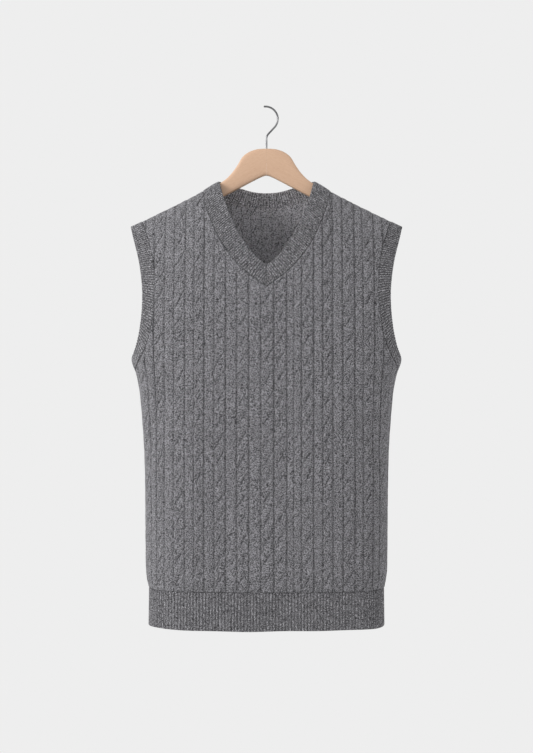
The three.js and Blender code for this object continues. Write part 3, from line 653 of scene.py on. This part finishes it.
def panel_mesh(name, face, cells):
    """One panel as three kinds of blocks: the middle, one below each armhole and one above it up to the tip.

    Rows run evenly in each column from the rib to the neck seam or the shoulder line. The outer skin carries
    the knit, the inner one is smooth with every third point, and the edges are drawn in where a seam lies.
    """
    seam = neck_seam()
    over = int(np.argmax(seam[:, 1] >= 0))
    a, b = seam[over - 1], seam[over]
    corner = a + (b - a) * a[1] / (a[1] - b[1])
    half = np.vstack([seam[:over], corner]) if face < 0 else np.vstack([corner, seam[over:]])[::-1]
    neck_columns, neck_reach = np.maximum.accumulate(half[:, 0]), np.abs(half[:, 1])
    arm = arm_seam(ARM_BAND_WIDTH - TUCK)
    least = int(np.argmin(arm[:, 0]))
    notch, notch_reach = arm[least, 0], -arm[least, 1]
    lower, upper = arm[least:], arm[: least + 1][::-1]
    tip = upper[-1, 0]

    def top_reach(c):
        reach = np.interp(np.abs(c), neck_columns, neck_reach)
        return np.where(np.abs(c) < neck_columns[-1], np.maximum(reach, HALF_SEAM), HALF_SEAM)

    def lower_reach(c):
        return np.interp(np.abs(c), np.maximum.accumulate(lower[:, 0]), -lower[:, 1])

    def upper_reach(c):
        return np.maximum(np.interp(np.abs(c), np.maximum.accumulate(upper[:, 0]), -upper[:, 1]), HALF_SEAM)

    def bottom_reach(c):
        return inside(c, np.full(np.shape(c), RIB_TOP - TUCK))[2]

    def edge_distance(c, reach):
        out = np.abs(c)
        beyond = np.where(reach > notch_reach, reach - lower_reach(c), upper_reach(c) - reach)
        to_arm = np.where(out >= notch, np.abs(beyond), np.hypot(notch - out, reach - notch_reach))
        ends = np.minimum(reach - top_reach(c), 3 * (bottom_reach(c) - reach))
        return np.clip(np.minimum(np.minimum(ends, to_arm), SIDE - out), 0, None)

    notch_bottom = float(bottom_reach(np.array(notch)))
    notch_share = (notch_bottom - notch_reach) / (notch_bottom - HALF_SEAM)
    shares = np.interp(np.arange(ROWS + 1), [0, NOTCH_ROW, ROWS], [0, notch_share, 1])[:, None]
    skin = Skin()
    flat_area = 0.0

    def block(columns, start, end, steps, rims):
        nonlocal flat_area
        reach = start + (end - start) * steps
        c = np.broadcast_to(columns, reach.shape)
        z = height_at(c, reach)
        height, hollow_shade, count, run = knit_relief(cells, c, z)
        gap = edge_distance(c, reach)
        kept = SHOULDER_RELIEF + (1 - SHOULDER_RELIEF) * smooth_step(reach / SHOULDER_RELIEF_FADE)
        body = WALL + height * kept * smooth_step(gap / RELIEF_FADE)
        out = SEAM_EDGE + (body - SEAM_EDGE) * smooth_step(gap / EDGE_ROUNDING + 0.05)
        outer = skin.add(on_cloth(face, c, z, out), count, -reach, c, hollow_shade, 0, run)
        rows, across = picked(len(steps)), picked(len(columns))
        some = np.ix_(rows, across)
        smooth = on_cloth(face, c[some], z[some], np.zeros_like(z[some]))
        inner = skin.add(smooth, count[some], -reach[some], c[some], 0, 1, run[some])
        skin.sheet(outer, face > 0)
        skin.sheet(inner, face < 0)
        lines = {
            "bottom": (outer[0], inner[0], across, face < 0),
            "top": (outer[-1], inner[-1], across, face > 0),
            "left": (outer[:, 0], inner[:, 0], rows, face > 0),
            "right": (outer[:, -1], inner[:, -1], rows, face < 0),
        }
        for which in rims:
            fine, coarse, picks, turned = lines[which]
            skin.rim(fine, coarse, picks, turned)
        tall = np.abs(start - end)
        flat_area += float(((tall[1:] + tall[:-1]) / 2 * np.diff(columns)).sum())

    middle = column_places(cells, -notch, notch)
    block(middle, bottom_reach(middle), top_reach(middle), shares, ("bottom", "top"))
    low_steps = np.linspace(0, 1, NOTCH_ROW + 1)[:, None]
    high_steps = np.linspace(0, 1, ROWS - NOTCH_ROW + 1)[:, None]
    for sign, side in ((-1, "left"), (1, "right")):
        to_side = column_places(cells, *sorted((sign * notch, sign * SIDE)))
        block(to_side, bottom_reach(to_side), lower_reach(to_side), low_steps, ("bottom", "top", side))
        to_tip = column_places(cells, *sorted((sign * notch, sign * tip)))
        block(to_tip, upper_reach(to_tip), top_reach(to_tip), high_steps, ("bottom", "top"))
    long = float(bottom_reach(np.array(neck_columns[-1]))) * MM
    return skin.mesh(name), (2 * SIDE * MM, long), flat_area * MM * MM


# The ribbed bands

BAND_ACROSS = np.array([0, 0.012, 0.035, 0.07, 0.14, 0.28, 0.42, 0.58, 0.72, 0.86, 0.93, 0.965, 0.988, 1])
BAND_EDGE = 1.3
# Width over which painted shade darkens a band towards its seam edge
SEAM_SHADE = 1.6


def band_mesh(name, face, column, z, measure, width, ribs, ring, rib_shade=(0.0, 1.0), seam_shade=1.0):
    """A band of one by one rib: a closed section carried along an edge.

    face, column and z place the section's points across the band at each step. ribs counts the ribs along the
    edge, and the outer side rises by rise * |cos(pi * ribs)|^0.8. The two edges round off as quarter circles.
    rib_shade is the painted shade of the outer side on a rib's top and in the valley beside it. seam_shade is
    the painted shade along the seam edge.
    """
    skin = Skin()
    distance = np.minimum(measure, width - measure)
    rounding = np.sqrt(1 - (1 - np.clip(distance / BAND_EDGE, 0, 1)) ** 2)
    ridge = np.abs(np.cos(np.pi * ribs)) ** 0.8
    middle = BAND_WALL / 2
    outer = on_cloth(face, column, z, middle + (middle + FINE_RIB_RISE * ridge) * rounding)
    groove = INNER_RIB_DEPTH * np.abs(np.sin(np.pi * ribs)) ** 0.8
    inner = on_cloth(face, column, z, middle - (middle - INNER_RIB_DEPTH + groove) * rounding)
    # Painted shade: darker towards the seam edge on both sides, from rib tops to valleys on the outer side,
    # and on the inner side behind the outer ribs.
    seam = seam_shade * (1 - smooth_step((width - measure) / SEAM_SHADE))
    wale = (ribs + 0.5) * WALE
    shade = rib_shade[0] + (rib_shade[1] - rib_shade[0]) * (1 - ridge)
    outer_ids = skin.add(outer, ribs, measure, wale, np.maximum(shade, seam), 0)
    inner_ids = skin.add(inner, ribs, measure, wale, np.maximum(0.8 * ridge, seam), 1)
    if ring:
        outer_ids = np.vstack([outer_ids, outer_ids[:1]])
        inner_ids = np.vstack([inner_ids, inner_ids[:1]])
    skin.sheet(outer_ids)
    skin.sheet(inner_ids, True)
    skin.sheet(np.stack([outer_ids[:, 0], inner_ids[:, 0]], axis=1), True)
    skin.sheet(np.stack([outer_ids[:, -1], inner_ids[:, -1]], axis=1))
    if not ring:
        skin.sheet(np.stack([outer_ids[0], inner_ids[0]], axis=1))
        skin.sheet(np.stack([outer_ids[-1], inner_ids[-1]], axis=1), True)
    return skin.mesh(name)


def layout_band(name, edge, seam, ribs, ring):
    """A band between two lines of the layout, its finished edge and its seam."""
    spots = edge[:, None, :] + (seam - edge)[:, None, :] * BAND_ACROSS[None, :, None]
    face = np.where(spots[..., 1] < 0, -1, 1)
    column = np.clip(spots[..., 0], -SIDE, SIDE)
    z = height_at(column, np.maximum(np.abs(spots[..., 1]), HALF_SEAM))
    width = np.linalg.norm(seam - edge, axis=1)[:, None]
    return band_mesh(name, face, column, z, width * BAND_ACROSS, width, ribs[:, None], ring)


MITRE_GAP = 0.08
LEAST_WIDTH = 0.05


def neckband_mesh():
    """The whole neckband, one strip from the mitre under the V round the back to the mitre again."""
    start = np.clip((MITRE_GAP - NECK_SPOTS[:, 0]) / np.maximum(NECK_ACROSS[:, 0], 1e-6), 0, None)
    start = np.where(NECK_WAY > NECK_BAND_WIDTH, 0, start)
    width = neck_width(NECK_SPOTS[:, 1])
    kept = start < width - LEAST_WIDTH
    edge = (NECK_SPOTS + NECK_ACROSS * start[:, None])[kept]
    seam = (NECK_SPOTS + NECK_ACROSS * width[:, None])[kept]
    ribs = NECK_WAY[kept] / BAND_RIB_PITCH
    edge = np.vstack([edge, (edge * FLIP_COLUMN)[-2::-1]])
    seam = np.vstack([seam, (seam * FLIP_COLUMN)[-2::-1]])
    ribs = np.concatenate([ribs, ribs[-2::-1]])
    return layout_band("neckband", edge, seam, ribs, False), 2 * float(NECK_WAY[-1])


ARM_STEPS_A_RIB = 8


def armhole_mesh(name, side):
    """An armhole band, a ring from the shoulder tip down the front, under the arm and up the back."""
    fine = ARM_STEPS_A_RIB * round(length_of(ARM_EDGE) / BAND_RIB_PITCH)
    edge = spaced_points(ARM_EDGE, fine)
    seam = spaced_points(arm_seam(ARM_BAND_WIDTH), fine)
    ribs = np.arange(fine + 1) / ARM_STEPS_A_RIB
    mirror = np.array([side, 1])
    edge = np.vstack([edge, (edge * FLIP_FACE)[-2:0:-1]]) * mirror
    seam = np.vstack([seam, (seam * FLIP_FACE)[-2:0:-1]]) * mirror
    ribs = np.concatenate([ribs, ribs[-2:0:-1]])
    return layout_band(name, edge, seam, ribs, True), 2 * length_of(ARM_EDGE)


HEM_STEPS_A_RIB = 8
# Painted shade of the hem's outer side on a rib's top and in its valleys
HEM_RIB_SHADE = (0.26, 0.55)

# Slow waves of the hem's lower edge: size, length and turn with the face
HEM_WAVES = ((1.2, 37.0, 0.6), (0.7, 15.5, 0.0))


def hem_mesh():
    """The hem rib, a ring all round: ribs run up it, and it folds round softly at its lower edge."""
    count = round(2 * SIDE / HEM_RIB_PITCH)
    steps = count * HEM_STEPS_A_RIB
    front = np.linspace(-SIDE, SIDE, steps + 1)
    column = np.concatenate([front, front[-2:0:-1]])
    face = np.concatenate([np.full(steps + 1, -1), np.full(steps - 1, 1)])
    ribs = np.arange(len(column)) / HEM_STEPS_A_RIB
    width = RIB_TOP - HALF_SEAM - HEM
    measure = BAND_ACROSS * width
    wave = sum(size * np.sin(column / length + turn * face) for size, length, turn in HEM_WAVES)
    lift = (0.5 * wave * (1 - BAND_ACROSS[:, None]) ** 2).T
    shape = (len(column), len(measure))
    z = np.broadcast_to(HEM + measure, shape) + lift - lift.min() * (1 - BAND_ACROSS)
    return band_mesh(
        "hem_rib",
        np.broadcast_to(face[:, None], shape),
        np.broadcast_to(column[:, None], shape),
        z,
        np.broadcast_to(measure, shape),
        width,
        ribs[:, None],
        True,
        rib_shade=HEM_RIB_SHADE,
        seam_shade=0.0,
    )


# The hanger


def wood_mesh(name, side):
    """One arm: a superellipse section carried out from the glued joint, closing round at the tip."""
    tip = ARM_END - WOOD_TIP_LENGTH * np.cos(np.linspace(0, np.pi / 2, 24)) ** 1.6
    body = np.linspace(0.4, ARM_END - WOOD_TIP_LENGTH, 150)
    x = np.unique(np.round(np.concatenate([[0.02, 0.1], body, tip]), 4))
    follow = np.arange(WOOD_FOLLOWS_FROM, ARM_END + 1, 10)
    crown = [*WOOD_CROWN, *zip(follow, shoulder(follow) - WOOD_CLEARANCE)]
    top = monotone_curve(crown, 1, flat_start=True)(x)
    straight = WOOD_APEX + WOOD_SLOPE * (WOOD_APEX_ROUND - np.hypot(x, WOOD_APEX_ROUND))
    tip_low = float(shoulder(ARM_END)) - WOOD_CLEARANCE - WOOD_TIP_HEIGHT
    low_start = WOOD_APEX - WOOD_SLOPE * WOOD_STRAIGHT_TO
    share = (x - WOOD_STRAIGHT_TO) / (ARM_END - WOOD_STRAIGHT_TO)
    low = np.where(x < WOOD_STRAIGHT_TO, straight, low_start + (tip_low - low_start) * share)
    near_end = np.clip((x - ARM_END + WOOD_TIP_ROUNDING) / WOOD_TIP_ROUNDING, 0, 1)
    close = np.sqrt(np.clip(1 - near_end**2, 0.0004, 1))
    middle, half = (top + low) / 2, (top - low) / 2 * close
    turn = np.linspace(0, 2 * np.pi, 64, endpoint=False)
    power = 2 / WOOD_SECTION_POWER
    y = np.sign(np.cos(turn)) * np.abs(np.cos(turn)) ** power * WOOD_HALF_THICKNESS
    up = np.sign(np.sin(turn)) * np.abs(np.sin(turn)) ** power
    rings = np.stack(
        [
            np.broadcast_to(side * x[:, None], (len(x), len(turn))),
            y[None, :] * close[:, None] ** 0.5,
            middle[:, None] + half[:, None] * up[None, :],
        ],
        axis=-1,
    )
    return closed_tube(name, rings)


def closed_tube(name, rings):
    """Rings of points joined in order, with a point in the middle of each end."""
    count, around = rings.shape[:2]
    ids = np.arange(count * around).reshape(count, around)
    wrapped = np.concatenate([ids, ids[:, :1]], axis=1)
    a, b, c, d = wrapped[:-1, :-1], wrapped[:-1, 1:], wrapped[1:, 1:], wrapped[1:, :-1]
    sides = [np.stack([q.ravel() for q in corner], axis=1) for corner in ((a, b, c), (a, c, d))]
    points = np.vstack([rings.reshape(-1, 3), rings[0].mean(axis=0), rings[-1].mean(axis=0)])
    ends = []
    first = count * around
    for ring, centre, turned in ((wrapped[0], first, True), (wrapped[-1], first + 1, False)):
        fan = np.stack([ring[:-1], ring[1:], np.full(around, centre)], axis=1)
        ends.append(fan[:, ::-1] if turned else fan)
    triangles = np.vstack([*sides, *ends])
    p, q, r = (points[triangles[:, k]] for k in range(3))
    if (p * np.cross(q, r)).sum() < 0:
        triangles = triangles[:, ::-1]
    return mesh_of(name, points, triangles)


def hook_mesh():
    """A round wire carried along the hook: an arc over the rail, a slant, a small bend and the stem."""

    def arc(x, z, radius, start, end, count):
        angle = np.radians(np.linspace(start, end, count))
        return np.stack([x + radius * np.cos(angle), z + radius * np.sin(angle)], axis=1)

    path = np.vstack(
        [
            arc(HOOK_OFFSET, WIRE / 2 - HOOK_RADIUS, HOOK_RADIUS, HOOK_TIP_ANGLE, -45, 90),
            arc(BEND_RADIUS, STEM_TOP, BEND_RADIUS, 135, 180, 24),
            [[0, STEM_FOOT]],
        ]
    )
    path = spaced_points(path, 150)
    along, across = directions(path)
    way = np.linspace(0, length_of(path), len(path))
    tip = np.sqrt(1 - (1 - np.clip(way / (WIRE / 2), 0.02, 1)) ** 2)
    turn = np.linspace(0, 2 * np.pi, 28, endpoint=False)
    radius = (WIRE / 2 * tip)[:, None]
    rings = np.stack(
        [
            path[:, :1] + radius * np.cos(turn) * across[:, :1],
            radius * np.sin(turn),
            path[:, 1:] + radius * np.cos(turn) * across[:, 1:],
        ],
        axis=-1,
    )
    return closed_tube("wire_hook", rings)


# Materials

# How far painted light raises the colour of the garment's inside
INNER_PAINTED_LIGHT = 1.72


class Value:
    """A socket of a material; an expression on values adds its Math nodes."""

    def __init__(self, material, socket):
        self.material, self.socket = material, socket

    def math(self, operation, *others):
        inputs = dict(enumerate((self, *others)))
        return self.material.node("ShaderNodeMath", {"operation": operation}, inputs)

    def flipped(self, operation, other):
        return self.material.node("ShaderNodeMath", {"operation": operation}, {0: other, 1: self})

    def __add__(self, other):
        return self.math("ADD", other)

    def __sub__(self, other):
        return self.math("SUBTRACT", other)

    def __rsub__(self, other):
        return self.flipped("SUBTRACT", other)

    def __mul__(self, other):
        return self.math("MULTIPLY", other)

    def __truediv__(self, other):
        return self.math("DIVIDE", other)

    def __pow__(self, other):
        return self.math("POWER", other)

    def __abs__(self):
        return self.math("ABSOLUTE")

    __radd__ = __add__
    __rmul__ = __mul__

    def fraction(self):
        return self.math("FRACT")

    def clamped(self):
        return self.material.node("ShaderNodeClamp", {}, {0: self})

    def between(self, low, high):
        """0 below low and 1 above high, with a smooth step between."""
        settings = {"interpolation_type": "SMOOTHSTEP"}
        return self.material.node("ShaderNodeMapRange", settings, {0: self, 1: low, 2: high})

    def part(self, number):
        return self.material.node("ShaderNodeSeparateXYZ", {}, {0: self}, number)


class Material:
    """A material's nodes, all made by one method."""

    def __init__(self, name):
        self.block = bpy.data.materials.new(name)
        self.block.use_nodes = True
        self.tree = self.block.node_tree
        self.tree.nodes.clear()

    def node(self, kind, settings, inputs, output=0):
        """A node of a kind with its settings, and the values or links of its sockets."""
        made = self.tree.nodes.new(kind)
        for key, value in settings.items():
            setattr(made, key, value)
        for key, value in inputs.items():
            if isinstance(value, Value):
                self.tree.links.new(value.socket, made.inputs[key])
            else:
                made.inputs[key].default_value = value
        return Value(self, made.outputs[output]) if made.outputs else None

    def attribute(self, name):
        return self.node("ShaderNodeAttribute", {"attribute_name": name}, {}, "Vector")

    def place(self):
        return self.node("ShaderNodeTexCoord", {}, {}, "Object")

    def vector(self, x, y, z):
        return self.node("ShaderNodeCombineXYZ", {}, {0: x, 1: y, 2: z})

    def noise(self, place, scale, detail=2.0, roughness=0.5):
        inputs = {"Vector": place, "Scale": scale, "Detail": detail, "Roughness": roughness}
        return self.node("ShaderNodeTexNoise", {}, inputs, "Fac")

    def mix(self, factor, first, second):
        return self.node("ShaderNodeMix", {"data_type": "RGBA"}, {0: factor, 6: first, 7: second}, 2)

    def bump(self, height, strength, distance):
        """A normal that follows a height; distance is the height of 1, in metres."""
        return self.node("ShaderNodeBump", {}, {"Strength": strength, "Distance": distance, "Height": height})

    def finish(self, **sockets):
        """The surface's shader: its sockets by name, with underscores for the spaces."""
        inputs = {key.replace("_", " "): value for key, value in sockets.items()}
        shader = self.node("ShaderNodeBsdfPrincipled", {}, inputs)
        self.node("ShaderNodeOutputMaterial", {}, {"Surface": shader})
        return self.block


def wool(name, dark, light, stitch_depth, grain_depth, hollow_shade_depth, steady, valley_line_shade):
    """Heathered wool knit: yarn legs in V pairs, fibre flecks, and painted shade in beady lines along the
    valleys and in darker hollows; the inside gets painted light.

    A leg's height is sin(pi * fraction of the course), where the course rises from the middle of a wale to
    its edges, and it is greatest halfway out. A cable's strands are parted by leaning dashes of painted
    shade.
    steady is the share of the painted shade of hollows that the beads leave alone.
    """
    m = Material(name)
    knit, shade = m.attribute("knit"), m.attribute("shade")
    count, along, wale = (knit.part(k) for k in range(3))
    hollow_shade, within, run = (shade.part(k) for k in range(3))
    place = m.place()
    wander = m.noise(place, 160, 1.0) - 0.5
    leg = abs((wale / WALE + wander * 0.5).fraction() - 0.5) * 2
    course = (along / COURSE + leg * 0.75 + wander * 0.8).fraction()
    loop = (course * math.pi).math("SINE")
    yarn = loop * (1 - abs(leg - 0.5) * 1.3)
    grain = m.noise(place, 640, 1.0, 0.8).between(0.4, 0.6)
    clouds = m.noise(place, 240, 2.0, 0.6)
    fibres = m.noise(place, 1300, 2.0, 0.6)
    beads = m.noise(place, 330, 2.0, 0.6)
    flecks = m.noise(place, 800, 0.0).between(0.58, 0.72)
    # Painted shade: beady lines at the columns' edges and leaning dashes between a cable's strands, stronger
    # on the inside; they also dip the bump, and deep adds the darkening of hollows.
    aside = abs((count + wander * 0.04).fraction() - 0.5) * 2
    line = (aside + (beads - 0.5) * 0.4).between(0.84, 1.0) * valley_line_shade
    dash = (abs((run + wander * 0.12).fraction() - 0.5) * 2 + (beads - 0.5) * 0.4).between(0.84, 1.0)
    painted_groove_lines = (line + dash * (1 - aside**2)) * clouds.between(0.28, 0.6) * (1 + within * 1.2)
    deep = (hollow_shade * (steady + beads.between(0.38, 0.6) * (1 - steady)) + painted_groove_lines * 0.6).clamped()
    # yarn * 0.2 paints shade between the yarn legs and light on their crowns; grain, flecks, fibres and
    # clouds are the wool's own heathered colour.
    tone = (grain + flecks * 1.4) * grain_depth + yarn * 0.2 + (fibres + clouds - 1) * 0.5
    # Painted light raises the inside's tone, and painted shade darkens the hollows and groove lines.
    tone = (tone * (1 + within * 0.6) * (1 - deep * hollow_shade_depth)).clamped()
    # The inside's light colour is raised: painted light that lifts the shaded inside.
    painted_inner_light = tuple(INNER_PAINTED_LIGHT * part for part in light[:3]) + (1,)
    colour = m.mix(tone, dark, m.mix(within, light, painted_inner_light))
    height = yarn * stitch_depth + grain * 0.9 + fibres * 0.3 - painted_groove_lines * 1.2
    return m.finish(
        Base_Color=colour,
        Roughness=0.92,
        Specular_IOR_Level=0.25,
        Sheen_Weight=0.12,
        Sheen_Roughness=0.45,
        Normal=m.bump(height, 0.9, 0.0011),
    )


def beech():
    """Pale pinkish beech: growth lines along each arm, fine dashes and a satin lacquer."""
    m = Material("beech")
    place = m.place()
    x, y, z = (place.part(k) for k in range(3))
    slope = math.atan(WOOD_SLOPE)
    out = abs(x)
    along = out * math.cos(slope) - z * math.sin(slope)
    across = out * math.sin(slope) + z * math.cos(slope)
    lines = m.noise(m.vector(along * 22, y * 500, across * 900), 1.0, 3.0, 0.6)
    dashes = m.noise(m.vector(along * 160, y * 1500, across * 2600), 1.0, 1.0)
    broad = m.noise(m.vector(along * 10, y * 50, across * 60), 1.0, 2.0)
    pale, warm, deep = (0.53, 0.35, 0.234, 1), (0.475, 0.302, 0.197, 1), (0.34, 0.18, 0.105, 1)
    colour = m.mix((lines * 0.6 + broad * 0.4).between(0.25, 0.75), pale, warm)
    colour = m.mix(dashes.between(0.52, 0.68) * 0.3, colour, deep)
    bump = m.bump(lines - dashes * 0.5, 0.25, 0.0003)
    rough = 0.36 + lines * 0.16
    return m.finish(Base_Color=colour, Roughness=rough, Coat_Weight=0.25, Coat_Roughness=0.3, Normal=bump)


def steel_wire():
    """Plated steel wire with fine draw lines and a few duller patches."""
    m = Material("steel_wire")
    place = m.place()
    patches = m.noise(place, 90, 3.0)
    lines = m.noise(place, 1400, 1.0)
    # The plating's colour is kept dark, a painted reflection of dark surroundings that the pale studio lacks;
    # the patches vary it.
    colour = m.mix(patches.between(0.35, 0.7), (0.13, 0.13, 0.135, 1), (0.22, 0.22, 0.225, 1))
    rough = 0.24 + patches * 0.18
    return m.finish(Base_Color=colour, Metallic=1.0, Roughness=rough, Normal=m.bump(lines, 0.15, 0.0002))


def matt_floor(colour):
    """A matt surface with faint unevenness."""
    m = Material("pale_floor")
    cloud = m.noise(m.place(), 3.0, 2.0)
    darker = tuple(0.97 * part for part in colour[:3]) + (1,)
    return m.finish(Base_Color=m.mix(cloud, colour, darker), Roughness=0.9)


# Build the pieces

knit_wool = wool(
    "knit_wool",
    dark=(0.016, 0.0155, 0.0175, 1),
    light=(0.358, 0.352, 0.375, 1),
    stitch_depth=1.0,
    grain_depth=0.66,
    hollow_shade_depth=0.82,
    steady=0.25,
    valley_line_shade=0.55,
)
rib_wool = wool(
    "rib_wool",
    dark=(0.018, 0.0175, 0.0195, 1),
    light=(0.496, 0.488, 0.515, 1),
    stitch_depth=0.7,
    grain_depth=0.44,
    hollow_shade_depth=0.9,
    steady=0.65,
    valley_line_shade=0,
)
wood = beech()
wire = steel_wire()

for side_name, side_sign in (("left", -1), ("right", 1)):
    arm = piece(wood_mesh(f"hanger_arm_{side_name}", side_sign), wood, [f"hanger_wood_{side_name}"])
piece(hook_mesh(), wire, ["hanger_hook"])

for panel_name, panel_face, panel_cells in (("front", -1, FRONT_CELLS), ("back", 1, BACK_CELLS)):
    made, flat, area = panel_mesh(f"{panel_name}_panel_knit", panel_face, panel_cells)
    cloth = piece(made, knit_wool, [f"{panel_name}_panel"])

made, edge_length = neckband_mesh()
cloth = piece(made, rib_wool, ["neckband_left", "neckband_right", "neckband_back"])

for side_name, side_sign in (("left", -1), ("right", 1)):
    made, edge_length = armhole_mesh(f"armhole_rib_{side_name}", side_sign)
    cloth = piece(made, rib_wool, [f"armhole_band_{side_name}"])

cloth = piece(hem_mesh(), rib_wool, ["hem_rib_front", "hem_rib_back"])

# Floor, light and camera

FLOOR_Z = -1.9
FLOOR_RADIUS = 2.8
FLOOR_POINTS = 96
CAMERA_DISTANCE = 1.8
CAMERA_HEIGHT = -0.40335
LENS = 57.4
SENSOR = 36.0
BACKGROUND = 0.855

turns = np.linspace(0, 2 * np.pi, FLOOR_POINTS + 1)[:-1]
ring = np.stack([np.cos(turns), np.sin(turns), np.zeros_like(turns)], axis=1) * FLOOR_RADIUS / MM
ring[:, 2] = FLOOR_Z / MM
corners = np.arange(1, FLOOR_POINTS - 1)
fan = np.stack([np.zeros_like(corners), corners, corners + 1], axis=1)
floor = bpy.data.objects.new("floor", mesh_of("floor", ring, fan))
floor.data.materials.append(matt_floor((0.8, 0.8, 0.8, 1)))
bpy.context.scene.collection.objects.link(floor)

world = bpy.data.worlds.new("studio")
world.use_nodes = True
world.node_tree.nodes["Background"].inputs["Color"].default_value = (BACKGROUND, BACKGROUND, BACKGROUND, 1)
world.node_tree.nodes["Background"].inputs["Strength"].default_value = 1.0
bpy.context.scene.world = world


def softbox(name, place, aim, size, power):
    """A square area light at a place that faces a point."""
    light = bpy.data.lights.new(name, "AREA")
    light.shape, light.size, light.energy = "SQUARE", size, power
    lamp = bpy.data.objects.new(name, light)
    bpy.context.scene.collection.objects.link(lamp)
    away = np.array(place, float) - np.array(aim, float)
    yaw = math.atan2(away[0], -away[1])
    lamp.location = place
    lamp.rotation_euler = (math.atan2(math.hypot(away[0], away[1]), away[2]), 0, yaw)


softbox("key_softbox", (-2.1, -1.05, 0.5), aim=(0, 0, -0.4), size=1.1, power=60)
softbox("edge_softbox", (1.9, 0.1, -0.2), aim=(0, 0, -0.45), size=1.0, power=9)

camera = bpy.data.objects.new("camera", bpy.data.cameras.new("camera"))
bpy.context.scene.collection.objects.link(camera)
camera.location = (0, -CAMERA_DISTANCE, CAMERA_HEIGHT)
camera.rotation_euler = (math.pi / 2, 0, 0)
camera.data.sensor_fit = "VERTICAL"
camera.data.sensor_height = SENSOR
camera.data.lens = LENS
bpy.context.scene.camera = camera
bpy.context.scene.view_settings.view_transform = "Standard"
